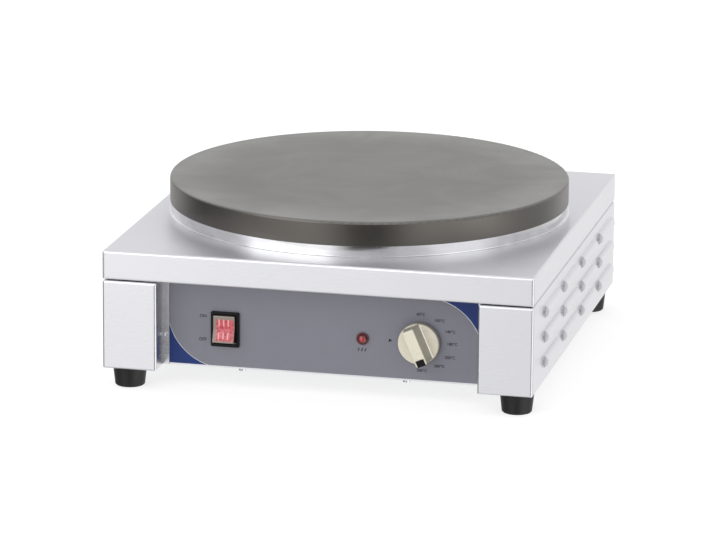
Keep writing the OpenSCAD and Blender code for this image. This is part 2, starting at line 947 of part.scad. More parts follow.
// Tab terminals on the back of a device: the places, and the depth behind the film
module tabs(places, depth) {
    for (p = places)
        translate([p[0] - tab_t / 2, p[1] - tab_w / 2, -depth - tab_l])
            cube([tab_t, tab_w, tab_l]);
}

module switch_terminals() {
    color([0.78, 0.66, 0.38])
    on_fascia(-switch_x)
        tabs([for (sx = [-1, 1]) for (sy = [-1, 1]) [sx * 6, sy * 8]], housing_depth);
}

// ---------- pilot lamp ----------

module pilot_bezel() {
    color([0.25, 0.03, 0.03])
    on_fascia(lamp_x)
        rotate_extrude()
            difference() {
                translate([lens_d / 2 - 1, 0])
                    square([ring_w + 1, 1.4]);
                translate([0, 0.4])
                    square([lens_d / 2, 2]);
            }
}

module pilot_lens() {
    dome_r = (lens_h * lens_h + lens_d * lens_d / 4) / (2 * lens_h);
    color([0.85, 0.06, 0.08])
    on_fascia(lamp_x, 0.4)
        rotate_extrude()
            union() {
                square([lens_d / 2 - contact_gap, 1]);
                translate([0, 1])
                    intersection() {
                        translate([0, lens_h - dome_r])
                            circle(dome_r - contact_gap);
                        square([lens_d / 2 - contact_gap, lens_h]);
                    }
            }
}

module pilot_body() {
    color([0.9, 0.88, 0.8])
    on_fascia(lamp_x) {
        translate([0, 0, -pilot_depth])
            cylinder(r = lamp_hole_r, h = pilot_depth);
        tabs([[-2.5, 0], [2.5, 0]], pilot_depth);
    }
}

module pilot_nut() {
    color("silver")
    on_fascia(lamp_x, -film_t - sheet_t - 3)
        nut(2 * lamp_hole_r + 5, 2 * lamp_hole_r + 0.1, 3);
}

// ---------- thermostat ----------

module thermostat_knob() {
    cavity = knob_t - 2.5;
    bore_depth = knob_t + grip_h - 4;
    color([0.87, 0.84, 0.74])
    on_fascia(knob_x, knob_gap)
        rotate([0, 0, pointer_angle])
            difference() {
                union() {
                    rotate_extrude($fn = 120)
                        union() {
                            square([knob_d / 2, knob_t - 1]);
                            square([knob_d / 2 - 1, knob_t]);
                            translate([knob_d / 2 - 1, knob_t - 1])
                                circle(1, $fn = 32);
                        }
                    translate([-grip_l / 2, 0, knob_t - 1])
                        rotate([90, 0, 90])
                            linear_extrude(grip_l)
                                polygon([[-grip_root_w / 2, 0], [grip_root_w / 2, 0],
                                    [grip_w / 2, grip_h + 1], [-grip_w / 2, grip_h + 1]]);
                }
                difference() {
                    translate([0, 0, -1])
                        cylinder(r = knob_d / 2 - 2, h = cavity + 1);
                    translate([0, 0, -2])
                        cylinder(r = hub_r, h = cavity + 3);
                }
                translate([0, 0, -1])
                    cylinder(r = spindle_d / 2 + running_fit, h = bore_depth + 1);
                translate([grip_l / 2 - index_l, -index_w / 2, knob_t + grip_h - index_t])
                    cube([index_l + 1, index_w, index_t + 1]);
            }
}

module knob_index() {
    color([0.04, 0.04, 0.04])
    on_fascia(knob_x, knob_gap)
        rotate([0, 0, pointer_angle])
            translate([grip_l / 2 - index_l, -index_w / 2, knob_t + grip_h - index_t])
                cube([index_l + index_proud, index_w, index_t + index_proud]);
}

module thermostat_spindle() {
    out = knob_gap + knob_t + grip_h - 4.5;
    color("silver")
    on_fascia(knob_x, -thermostat_depth + 4)
        cylinder(d = spindle_d, h = thermostat_depth - 4 + out);
}

module thermostat_body() {
    back = film_t + sheet_t;
    color([0.75, 0.73, 0.68])
    on_fascia(knob_x)
        difference() {
            union() {
                translate([0, 0, -back - thermostat_plate_t])
                    linear_extrude(thermostat_plate_t)
                        soft_rect(thermostat_w, thermostat_h / 2, 2);
                translate([0, 0, -back - thermostat_depth])
                    linear_extrude(thermostat_depth - thermostat_plate_t + eps)
                        soft_rect(thermostat_w - 12, thermostat_h, 3);
                translate([0, 0, -back - 2])
                    cylinder(r = bush_r, h = back + 2 + knob_gap / 2);
            }
            translate([0, 0, -thermostat_depth + 3])
                cylinder(r = spindle_d / 2 + running_fit, h = thermostat_depth + 10);
            for (s = [-1, 1])
                translate([s * thermostat_pitch / 2, 0, -back - 10])
                    cylinder(d = hole_d, h = 12);
        }
}

module thermostat_screws() {
    color("silver")
    on_fascia(knob_x, -film_t)
        for (s = [-1, 1])
            translate([s * thermostat_pitch / 2, 0, 0])
                rotate([180, 0, 0])
                    pan_screw(screw_d, screw_head_d - 1, 1, 9);
}

module thermostat_terminals() {
    color([0.78, 0.66, 0.38])
    on_fascia(knob_x)
        tabs([for (sx = [-1, 1]) for (sy = [-1, 1]) [sx * 10, sy * 11]],
            film_t + sheet_t + thermostat_depth);
}

// Sensing bulb under the web at an angle, and its capillary tube down to a device
module sensing_bulb(angle, turn, device, approach) {
    mid_r = loop_r + 1.5 * loop_pitch;
    side = turn * [-sin(angle), cos(angle)];
    mid = [mid_r * cos(angle), plate_back + mid_r * sin(angle)];
    z = z_web - contact_gap - bulb_r;
    start = mid - side * bulb_l / 2;
    end = mid + side * bulb_l / 2;
    out = end + side * capillary_lead;
    drop_z = z_pan - 8;
    color([0.72, 0.45, 0.3]) {
        bar([start[0], start[1], z], [end[0], end[1], z], bulb_r);
        wire([[end[0], end[1], z], [out[0], out[1], z], [out[0], out[1], z_pan - 4],
            [out[0], out[1], drop_z], [device[0], out[1], drop_z],
            [device[0], device[1] + approach, drop_z],
            [device[0], device[1] + approach, device[2]], device], capillary_r);
    }
}

module thermostat_bulb() {
    sensing_bulb(bulb_angle, 1,
        [knob_x - 8, film_t + sheet_t + thermostat_depth - film_front, z_control + 15], 6);
}

module limiter_bulb() {
    sensing_bulb(180 - bulb_angle, -1,
        [-limiter_x, limiter_y - limiter_d / 2, z_floor + limiter_up + limiter_d - 4], -6);
}

module limiter_placed(z) {
    translate([-limiter_x, limiter_y, z])
        children();
}

module safety_limiter() {
    neck_d = 9;
    neck_l = 7;
    button_d = 5;
    color([0.3, 0.3, 0.32])
    limiter_placed(z_floor + limiter_up)
        difference() {
            union() {
                linear_extrude(limiter_d)
                    soft_rect(limiter_w, limiter_d, 3);
                translate([0, limiter_d / 2 - eps, limiter_d / 2])
                    rotate([-90, 0, 0])
                        cylinder(d = neck_d, h = neck_l);
                for (s = [-1, 1])
                    translate([s * limiter_w / 4 - tab_t / 2, -limiter_d / 2 - tab_l + 1,
                            (limiter_d - tab_w) / 2])
                        cube([tab_t, tab_l, tab_w]);
            }
            translate([0, limiter_d / 2, limiter_d / 2])
                rotate([-90, 0, 0])
                    cylinder(d = button_d, h = neck_l + 1);
        }
}

// Folded bracket: a foot, a plate behind the limiter with a hole for its neck, and two ribs
module limiter_bracket() {
    wing = limiter_w / 2;
    behind = limiter_d / 2;
    rib_t = 4;
    color("silver")
    limiter_placed(z_floor)
        union() {
            span([-wing, -behind, 0], [wing, behind + sheet_t, sheet_t]);
            difference() {
                span([-wing, behind, 0], [wing, behind + sheet_t, limiter_up + limiter_d - 2]);
                translate([0, behind - 1, limiter_up + limiter_d / 2])
                    rotate([-90, 0, 0])
                        cylinder(d = 9.2, h = sheet_t + 2);
            }
            for (s = [-1, 1])
                span([s * (wing - rib_t / 2) - rib_t / 2, -behind, 0],
                    [s * (wing - rib_t / 2) + rib_t / 2, behind, limiter_up]);
        }
}

// ---------- heater ----------

// Tubular element: most of a circle, with both ends turned down through the pan
module heating_element(i) {
    r = loops[i];
    opening = loop_open_deg[i];
    pin_r = 1.6;
    translate([0, plate_back, z_tube])
        rotate([0, 0, -90]) {
            rotate([0, 0, opening / 2])
                rotate_extrude(angle = 360 - opening, $fn = 120)
                    translate([r, 0])
                        circle(tube_r, $fn = 32);
            for (s = [-1, 1])
                rotate([0, 0, s * opening / 2])
                    translate([r, 0, -elbow_r])
                        rotate([0, 0, -s * 90]) {
                            rotate([90, 0, 0])
                                rotate_extrude(angle = 90, $fn = 96)
                                    translate([elbow_r, 0])
                                        circle(tube_r, $fn = 32);
                            translate([elbow_r, 0, leg_end - z_tube + elbow_r])
                                cylinder(r = tube_r, h = z_tube - elbow_r - leg_end, $fn = 32);
                            translate([elbow_r, 0, leg_end - z_tube + elbow_r - pin_l])
                                cylinder(r = pin_r, h = pin_l + 1, $fn = 32);
                        }
        }
}

// Where the elements' legs stand, for the holes under them
module element_leg_places(z) {
    for (i = [0:2])
        for (s = [-1, 1])
            translate([0, plate_back, z])
                rotate([0, 0, -90 + s * loop_open_deg[i] / 2])
                    translate([loops[i], -s * elbow_r, 0])
                        children();
}

module heating_element_inner() {
    color([0.35, 0.33, 0.32])
        heating_element(0);
}

module heating_element_middle() {
    color([0.35, 0.33, 0.32])
        heating_element(1);
}

module heating_element_outer() {
    color([0.35, 0.33, 0.32])
        heating_element(2);
}

module clamp_places(z) {
    for (a = clamp_angles)
        for (r = clamp_stud_rs)
            translate([0, plate_back, z])
                rotate([0, 0, a])
                    translate([r, 0, 0])
                        children();
}

module element_clamps() {
    first = loops[0] - 10;
    last = loops[2] + 10;
    color([0.6, 0.6, 0.62])
    difference() {
        translate([0, plate_back, z_clamp])
            for (a = clamp_angles)
                rotate([0, 0, a])
                    translate([(first + last) / 2, 0, 0])
                        linear_extrude(clamp_t)
                            soft_rect(last - first, clamp_w, 3);
        clamp_places(z_clamp - 1)
            cylinder(d = clamp_stud_d + hole_gap, h = clamp_t + 2);
    }
}

module clamp_studs() {
    color("silver")
    clamp_places(z_clamp - nut_m6 - 2)
        cylinder(d = clamp_stud_d, h = z_web + clamp_end - z_clamp + nut_m6 + 2 - contact_gap);
}

module clamp_nuts() {
    color("silver")
    clamp_places(z_clamp - nut_m6)
        nut(clamp_stud_d + 4, clamp_stud_d, nut_m6);
}

module insulation_pan() {
    color([0.7, 0.71, 0.73])
    difference() {
        translate([0, plate_back, z_pan])
            rotate_extrude($fn = 180)
                union() {
                    square([pan_r, sheet_t]);
                    translate([pan_r - sheet_t, 0])
                        square([sheet_t, pan_depth + sheet_t]);
                    translate([pan_r - sheet_t, pan_depth])
                        square([sheet_t + pan_flange, sheet_t]);
                }
        at_all(stud_places, z_pan - 1)
            cylinder(d = stud_d + hole_gap, h = sheet_t + 2);
        element_leg_places(z_pan - 1)
            cylinder(r = tube_r + 1, h = sheet_t + 2);
        capillary_holes(z_pan - 1, sheet_t + 2);
    }
}

module capillary_holes(z, h) {
    mid_r = loop_r + 1.5 * loop_pitch;
    for (turn = [-1, 1])
        translate([0, plate_back, z])
            rotate([0, 0, 90 + turn * (bulb_angle - 90)])
                translate([mid_r, turn * (bulb_l / 2 + capillary_lead), 0])
                    cylinder(r = capillary_r + 1, h = h);
}

module insulation_disc() {
    color([0.93, 0.91, 0.85])
    difference() {
        translate([0, plate_back, z_pan + sheet_t])
            cylinder(r = pan_r - sheet_t - 0.5, h = insulation_t, $fn = 180);
        at_all(stud_places, z_pan)
            cylinder(r = spacer_r + 0.5, h = insulation_t + 4);
        element_leg_places(z_pan)
            cylinder(r = tube_r + 0.5, h = insulation_t + 4);
        capillary_holes(z_pan, insulation_t + 4);
    }
}

module plate_spacers() {
    color("silver")
    at_all(stud_places, z_pan + sheet_t)
        difference() {
            cylinder(r = spacer_r, h = z_web - boss_h - z_pan - sheet_t);
            translate([0, 0, -1])
                cylinder(d = stud_d + hole_gap, h = z_web);
        }
}

module plate_studs() {
    z = z_pan - bridge_t - nut_m8 - 3;
    color("silver")
    at_all(stud_places, z)
        cylinder(d = stud_d, h = z_web - boss_h + stud_end - contact_gap - z);
}

module plate_nuts() {
    color("silver")
    at_all(stud_places, z_pan - bridge_t - nut_m8)
        nut(stud_d + 5, stud_d, nut_m8);
}

module bridge_screw_places(z) {
    for (y = bridge_ys)
        for (s = [-1, 1])
            translate([s * (bridge_span / 2 + bridge_foot / 2), y, z])
                children();
}

// Bent strap that stands on the base plate and carries the pan and the plate's studs
module bridge(y) {
    leg = bridge_span / 2;
    color([0.66, 0.67, 0.69])
    difference() {
        union() {
            span([-leg, y - bridge_w / 2, z_pan - bridge_t], [leg, y + bridge_w / 2, z_pan]);
            for (s = [-1, 1]) {
                span([min(s * leg, s * (leg - bridge_t)), y - bridge_w / 2, z_floor],
                    [max(s * leg, s * (leg - bridge_t)), y + bridge_w / 2, z_pan]);
                span([min(s * (leg - bridge_t), s * (leg + bridge_foot)), y - bridge_w / 2,
                        z_floor],
                    [max(s * (leg - bridge_t), s * (leg + bridge_foot)), y + bridge_w / 2,
                        z_floor + bridge_t]);
            }
        }
        at_all(stud_places, z_pan - bridge_t - 1)
            cylinder(d = stud_d + hole_gap, h = bridge_t + 2);
        element_leg_places(z_pan - bridge_t - 1)
            cylinder(r = tube_r + 3, h = bridge_t + 2);
        bridge_screw_places(z_floor - 1)
            cylinder(d = hole_d, h = bridge_t + 2);
    }
}

module front_bridge() {
    bridge(bridge_ys[0]);
}

module rear_bridge() {
    bridge(bridge_ys[1]);
}

module bridge_screws() {
    color("silver")
    bridge_screw_places(z_base + sheet_t)
        pan_screw(screw_d, screw_head_d, sheet_t, sheet_t + bridge_t + 5);
}

// ---------- supply ----------

module terminal_block() {
    color([0.92, 0.9, 0.84])
    translate([terminal_x, terminal_y, z_floor])
        difference() {
            union()
                for (i = [-1:1])
                    span([i * pole_pitch - pole_pitch / 2, -block_w / 2, 0],
                        [i * pole_pitch + pole_pitch / 2, block_w / 2, block_h]);
            for (i = [-1:1])
                for (s = [-1, 1]) {
                    translate([i * pole_pitch, s * block_w / 4, block_h / 2])
                        cylinder(d = 6, h = block_h);
                    translate([i * pole_pitch, s * block_w / 2, block_h / 3])
                        rotate([s * 90, 0, 0])
                            cylinder(d = 4.5, h = 2 * block_w / 5, center = true);
                }
        }
}

module terminal_screws() {
    color([0.78, 0.66, 0.38])
    translate([terminal_x, terminal_y, z_floor + block_h / 2])
        for (i = [-1:1])
            for (s = [-1, 1])
                translate([i * pole_pitch, s * block_w / 4, 0])
                    difference() {
                        cylinder(d = 5.6, h = block_h / 2 - 3);
                        translate([-3, -0.5, block_h / 2 - 4])
                            cube([6, 1, 2]);
                    }
}

module gland_placed() {
    translate([gland_x, panel_y, z_base + gland_h])
        rotate([-90, 0, 0])
            children();
}

module cable_gland() {
    color([0.08, 0.08, 0.08])
    gland_placed()
        difference() {
            union() {
                translate([0, 0, -12])
                    cylinder(d = gland_thread_d, h = 13);
                cylinder(d = (gland_thread_d + 5) / cos(30), h = 6, $fn = 6);
                translate([0, 0, 6])
                    cylinder(d = (gland_thread_d + 3) / cos(30), h = 9, $fn = 6);
                translate([0, 0, 15])
                    cylinder(d1 = gland_thread_d + 1, d2 = gland_bore_d + 5, h = 6);
            }
            translate([0, 0, -13])
                cylinder(d = gland_bore_d, h = 40);
        }
}

module gland_locknut() {
    color([0.08, 0.08, 0.08])
    gland_placed()
        translate([0, 0, -sheet_t - 4.5])
            nut(gland_thread_d + 6, gland_thread_d, 4.5);
}

module earth_stud() {
    color([0.8, 0.68, 0.4])
    translate([earth_x, panel_y, z_base + gland_h])
        rotate([-90, 0, 0])
            union() {
                translate([0, 0, -earth_in])
                    cylinder(d = foot_screw_d, h = earth_in + earth_out);
                for (z = [-sheet_t - nut_m5, 0])
                    translate([0, 0, z])
                        cylinder(d = (foot_screw_d + 3) / cos(30), h = nut_m5, $fn = 6);
            }
}

// Where a device's tab is: x, height over the controls' middle, and depth behind the film
function tab_at(x, h, depth) = [x, depth - film_front, z_control + h];

// Foot of an element's pin: i is the loop and s the side
function pin_at(i, s) = let (a = s * loop_open_deg[i] / 2 - 90)
    [loops[i] * cos(a) + s * elbow_r * sin(a),
        plate_back + loops[i] * sin(a) - s * elbow_r * cos(a), leg_end - pin_l];

// Links between the three elements' pins on one side
module pin_links(s) {
    dip = [0, 0, -8];
    for (i = [0:1])
        wire([pin_at(i, s), pin_at(i, s) + dip, pin_at(i + 1, s) + dip, pin_at(i + 1, s)],
            wire_r);
}

module live_wires() {
    run_z = z_floor + 6;
    high_z = z_control + 23;
    switch_back = housing_depth + tab_l;
    sensor_back = film_t + sheet_t + thermostat_depth + tab_l;
    switch_in = tab_at(-switch_x - 6, -8, switch_back);
    switch_out = tab_at(-switch_x - 6, 8, switch_back);
    sensor_in = tab_at(knob_x - 10, 11, sensor_back);
    sensor_out = tab_at(knob_x + 10, 11, sensor_back);
    lamp_in = tab_at(lamp_x + 2.5, 0, pilot_depth + tab_l);
    block = [terminal_x - pole_pitch, terminal_y - block_w / 2, z_floor + block_h / 3];
    last_pin = pin_at(2, 1);
    color([0.45, 0.26, 0.14]) {
        wire([block, block - [0, 14, 0], [block[0], 60, run_z], [switch_in[0], 60, run_z],
            [switch_in[0], switch_in[1] + 6, run_z], switch_in + [0, 6, 0], switch_in], wire_r);
        wire([switch_out, switch_out + [0, 8, 0], [switch_out[0], switch_out[1] + 8, high_z],
            [sensor_in[0], sensor_in[1] + 8, high_z],
            [sensor_in[0], sensor_in[1] + 8, sensor_in[2]], sensor_in], wire_r);
        wire([sensor_out, sensor_out + [0, 12, 0], last_pin + [30, 0, -10],
            last_pin + [0, 0, -8], last_pin], wire_r);
        wire([lamp_in, lamp_in + [0, 10, 0], [sensor_out[0] - 16, lamp_in[1] + 16, z_control],
            tab_at(knob_x + 10, -11, sensor_back) + [0, 8, 0],
            tab_at(knob_x + 10, -11, sensor_back)], wire_r);
        pin_links(1);
    }
}

module neutral_wires() {
    run_z = z_floor + 14;
    switch_back = housing_depth + tab_l;
    switch_in = tab_at(6 - switch_x, -8, switch_back);
    switch_out = tab_at(6 - switch_x, 8, switch_back);
    lamp_out = tab_at(lamp_x - 2.5, 0, pilot_depth + tab_l);
    block = [terminal_x, terminal_y - block_w / 2, z_floor + block_h / 3];
    limiter_tab = [-limiter_x, limiter_y - limiter_d / 2 - tab_l + 1,
        z_floor + limiter_up + limiter_d / 2];
    limiter_side = [limiter_w / 4, 0, 0];
    last_pin = pin_at(2, -1);
    beside = [0, 0, 1.1 * wire_r];
    color([0.12, 0.3, 0.62]) {
        wire([block, [block[0], block[1] - 24, run_z],
            [limiter_tab[0] + limiter_side[0], block[1] - 24, run_z],
            limiter_tab + limiter_side - [0, 8, 0], limiter_tab + limiter_side], wire_r);
        wire([limiter_tab - limiter_side, limiter_tab - limiter_side - [0, 8, 0],
            [limiter_tab[0] - limiter_side[0], 70, run_z], [switch_in[0], 40, run_z],
            [switch_in[0], switch_in[1] + 8, run_z], switch_in + [0, 8, 0], switch_in], wire_r);
        wire([switch_out + beside, switch_out + beside + [0, 14, 0],
            last_pin + [-30, 0, -10], last_pin + [0, 0, -8], last_pin], wire_r);
        wire([lamp_out, lamp_out + [0, 14, 0], lamp_out + [-40, 14, 0],
            switch_out - beside + [20, 14, 0], switch_out - beside + [0, 10, 0],
            switch_out - beside], wire_r);
        pin_links(-1);
    }
}

module earth_wires() {
    block = [terminal_x + pole_pitch, terminal_y + block_w / 2, z_floor + block_h / 3];
    stud = [earth_x, panel_y - earth_in, z_base + gland_h];
    color([0.35, 0.6, 0.2])
        wire([block, block + [0, 8, 0], [block[0], block[1] + 8, z_base + gland_h - 12],
            [stud[0], block[1] + 8, z_base + gland_h - 12], stud - [0, 6, 0], stud], wire_r);
}

// ---------- drawing ----------

cooking_plate();
plate_collar();
top_cover();
left_side_panel();
right_side_panel();
rear_panel();
base_plate();
fascia_panel();
fascia_film();
corner_decals();
switch_housing();
switch_rocker();
switch_terminals();
pilot_bezel();
pilot_lens();
pilot_body();
pilot_nut();
thermostat_knob();
knob_index();
thermostat_spindle();
thermostat_body();
thermostat_screws();
thermostat_terminals();
thermostat_bulb();
limiter_bulb();
safety_limiter();
limiter_bracket();
heating_element_inner();
heating_element_middle();
heating_element_outer();
element_clamps();
clamp_studs();
clamp_nuts();
insulation_pan();
insulation_disc();
plate_studs();
plate_spacers();
plate_nuts();
front_bridge();
rear_bridge();
bridge_screws();
terminal_block();
terminal_screws();
cable_gland();
gland_locknut();
earth_stud();
front_left_foot();
front_right_foot();
rear_left_foot();
rear_right_foot();
foot_screws();
foot_nuts();
base_screws();
cover_spacers();
cover_screws();
fascia_screws();
rear_panel_screws();
live_wires();
neutral_wires();
earth_wires();
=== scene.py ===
"""Looks of the electric crepe maker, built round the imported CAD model.

Sizes and places are in millimetres, and are turned into metres where a mesh or a material is
made; the stage is in metres. The fascia's own frame has x to the right, y up and z out of the
film, with its origin on the film at the height of the controls.
"""

import json
import math

import bpy
import numpy as np
from mathutils import Matrix, Vector


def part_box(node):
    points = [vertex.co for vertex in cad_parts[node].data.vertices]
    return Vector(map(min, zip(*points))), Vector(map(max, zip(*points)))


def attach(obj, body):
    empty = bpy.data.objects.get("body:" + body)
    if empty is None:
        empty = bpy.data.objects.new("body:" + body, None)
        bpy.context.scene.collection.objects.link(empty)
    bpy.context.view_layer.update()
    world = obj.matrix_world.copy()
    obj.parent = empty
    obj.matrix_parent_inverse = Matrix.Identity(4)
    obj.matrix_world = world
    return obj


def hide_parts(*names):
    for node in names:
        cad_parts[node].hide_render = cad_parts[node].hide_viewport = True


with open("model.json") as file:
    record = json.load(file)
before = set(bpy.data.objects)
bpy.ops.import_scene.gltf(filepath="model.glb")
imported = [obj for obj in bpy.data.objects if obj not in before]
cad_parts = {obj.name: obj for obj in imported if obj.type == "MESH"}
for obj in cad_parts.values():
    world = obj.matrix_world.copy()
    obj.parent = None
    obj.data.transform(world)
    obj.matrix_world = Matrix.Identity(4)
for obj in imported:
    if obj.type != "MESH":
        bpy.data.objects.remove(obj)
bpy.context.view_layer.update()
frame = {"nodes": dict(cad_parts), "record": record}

MM = 0.001

# Places taken from the CAD model
FILM_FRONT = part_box("fascia_film")[0].y / MM
SIDE_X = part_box("top_cover")[1].x / MM
CONTROL_Z = sum(corner.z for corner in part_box("thermostat_spindle")) / 2 / MM

# Places and sizes of the pieces that stand for CAD nodes, as in the part's source
PLATE_BACK = 6.0
SWITCH_X, LAMP_X, KNOB_X = -97.2, 39.9, 96.2
KNOB = {"radius": 20.3, "gap": 1.4, "thick": 6.0, "roof": 2.5, "wall": 2.0, "rim": 1.1,
        "bore_r": 3.1, "hub_r": 6.2, "grip_inset": 1.85, "grip_w": 11.7, "grip_root_w": 16.1,
        "grip_h": 16.5, "angle": math.radians(-66.4)}
KNOB_FACE = KNOB["gap"] + KNOB["thick"]
SWITCH = {"bezel": (14.25, 17.5), "opening": (11.0, 14.5), "housing": (12.5, 16.0),
          "out": 3.0, "depth": 25.0, "well": 10.0}
ROCKER = {"half_w": 10.7, "radius": 14.2, "end": 13.3, "tilt": math.radians(20.0),
          "face": 7.0, "back": 6.0, "sunk": 0.4}
RIB = {"half_w": 0.8, "half_h": 3.5, "out": 0.5, "pitch": 4.6, "up": 6.5}
SCREW = {"head_r": 4.0, "head_h": 4.0, "shank_r": 2.0, "shank_l": 8.0}
BASE = {"bottom": 22.0, "panel_y": 193.0, "half_w": 213.0, "screw_in": 7.0, "flange": 9.0,
        "screw_off": 82.0}

# Print on the film: its thickness, and how much its strokes stand over the font's
INK_THICK, INK_SPREAD = 0.05, 0.07

# Light of the air by azimuth in degrees, from the front towards the right
AIR = ((-180, 0.95), (-125, 0.8), (-105, 0.2), (-70, 0.15), (-48, 0.85), (-20, 1.12),
       (-8, 1.08), (3, 0.06), (21, 0.06), (32, 0.8), (48, 1.75), (84, 1.75), (104, 0.8),
       (130, 0.7), (160, 1.05), (180, 0.95))
# Camera: angles in degrees, lengths in metres, and the focal length in widths of the sensor
CAMERA = {"azimuth": 12.9382, "elevation": 14.5504, "roll": 0.4313, "distance": 4.56381,
          "target": (-0.009798, 0.0, 0.077806), "focal": 6.323184}


# ---------- finishes ----------

def dimmed(colour, share):
    """The colour with a share of its light."""
    return tuple(share * c for c in colour)


class Wiring:
    """Nodes of one material or of the world, made and joined by plain calls."""

    def __init__(self, tree):
        self.tree = tree

    def node(self, kind, **settings):
        """Adds a node of a kind, with its settings."""
        made = self.tree.nodes.new(kind)
        for key, value in settings.items():
            setattr(made, key, value)
        return made

    def feed(self, socket, value):
        """Gives a socket a number or colour, or joins another node's output to it."""
        if isinstance(value, bpy.types.NodeSocket):
            self.tree.links.new(value, socket)
        elif isinstance(value, tuple) and len(value) == 3 and socket.type == "RGBA":
            socket.default_value = (*value, 1.0)
        else:
            socket.default_value = value

    def part(self, vector, axis):
        """One of a vector's three parts, by its letter."""
        made = self.node("ShaderNodeSeparateXYZ")
        self.feed(made.inputs[0], vector)
        return made.outputs[axis]

    def fit(self, value, low, high, start=0.0, end=1.0):
        """Carries a value from start and end to low and high, and holds it there."""
        made = self.node("ShaderNodeMapRange")
        for name, v in (("Value", value), ("From Min", start), ("From Max", end),
                        ("To Min", low), ("To Max", high)):
            self.feed(made.inputs[name], v)
        return made.outputs["Result"]

    def band(self, value, rise, fall):
        """1 between two limits: it rises over the first pair and falls over the second."""
        return self.times(self.fit(value, 0.0, 1.0, *rise), self.fit(value, 1.0, 0.0, *fall))

    def worked(self, operation, a, b=0.0):
        """Result of one of the Math node's operations."""
        made = self.node("ShaderNodeMath", operation=operation)
        self.feed(made.inputs[0], a)
        self.feed(made.inputs[1], b)
        return made.outputs[0]

    def plus(self, a, b):
        """Sum of two numbers."""
        return self.worked("ADD", a, b)

    def times(self, a, b):
        """Product of two numbers."""
        return self.worked("MULTIPLY", a, b)

    def mix(self, share, a, b):
        """Colour that goes from a to b with the share."""
        made = self.node("ShaderNodeMix", data_type="RGBA")
        self.feed(made.inputs[0], share)
        self.feed(made.inputs[6], a)
        self.feed(made.inputs[7], b)
        return made.outputs[2]

    def between(self, share, a, b):
        """Number that goes from a to b with the share."""
        made = self.node("ShaderNodeMix", data_type="FLOAT")
        self.feed(made.inputs[0], share)
        self.feed(made.inputs[2], a)
        self.feed(made.inputs[3], b)
        return made.outputs[0]


class Finish(Wiring):
    """A node material: one Principled shader, with patterns on the piece's own coordinates."""

    def __init__(self, name, colour, roughness, metallic=0.0, **sockets):
        self.material = bpy.data.materials.new(name)
        self.material.use_nodes = True
        super().__init__(self.material.node_tree)
        self.tree.nodes.clear()
        self.shader = self.node("ShaderNodeBsdfPrincipled")
        end = self.node("ShaderNodeOutputMaterial")
        self.feed(end.inputs["Surface"], self.shader.outputs["BSDF"])
        source = self.node("ShaderNodeTexCoord")
        self.here = source.outputs["Object"]
        self.facing = source.outputs["Normal"]
        self.set("Base Color", colour)
        self.set("Roughness", roughness)
        self.set("Metallic", metallic)
        for socket, value in sockets.items():
            self.set(socket.replace("_", " "), value)

    def set(self, name, value):
        """Gives one of the shader's own sockets a value or another node's output."""
        self.feed(self.shader.inputs[name], value)

    def stretched(self, scale, centre=(0.0, 0.0, 0.0)):
        """Coordinates measured from a centre and stretched along the axes."""
        made = self.node("ShaderNodeMapping")
        self.feed(made.inputs["Vector"], self.here)
        made.inputs["Scale"].default_value = scale
        made.inputs["Location"].default_value = [-c * s for c, s in zip(centre, scale)]
        return made.outputs["Vector"]

    def away(self, centre, across):
        """Distance in metres from a centre, over the axes where across is 1."""
        made = self.node("ShaderNodeVectorMath", operation="LENGTH")
        self.feed(made.inputs[0], self.stretched(across, centre))
        return made.outputs["Value"]

    def noise(self, scale, detail, roughness=0.55, at=None, distortion=0.0):
        """Cloudy pattern from 0 to 1, with about as many clouds to the metre as its scale."""
        made = self.node("ShaderNodeTexNoise")
        self.feed(made.inputs["Vector"], at or self.here)
        made.inputs["Scale"].default_value = scale
        made.inputs["Detail"].default_value = detail
        made.inputs["Roughness"].default_value = roughness
        made.inputs["Distortion"].default_value = distortion
        return made.outputs["Fac"]

    def mottled(self, pattern, colour, darkest, low=0.3, high=0.7):
        """The colour, falling to its darkest share where the pattern falls to low."""
        return self.mix(self.fit(pattern, 0.0, 1.0, low, high), dimmed(colour, darkest), colour)

    def relief(self, height, depth, strength):
        """Bump as deep as the depth where the height is 1."""
        made = self.node("ShaderNodeBump")
        self.feed(made.inputs["Height"], height)
        made.inputs["Distance"].default_value = depth * MM
        made.inputs["Strength"].default_value = strength
        self.set("Normal", made.outputs["Normal"])


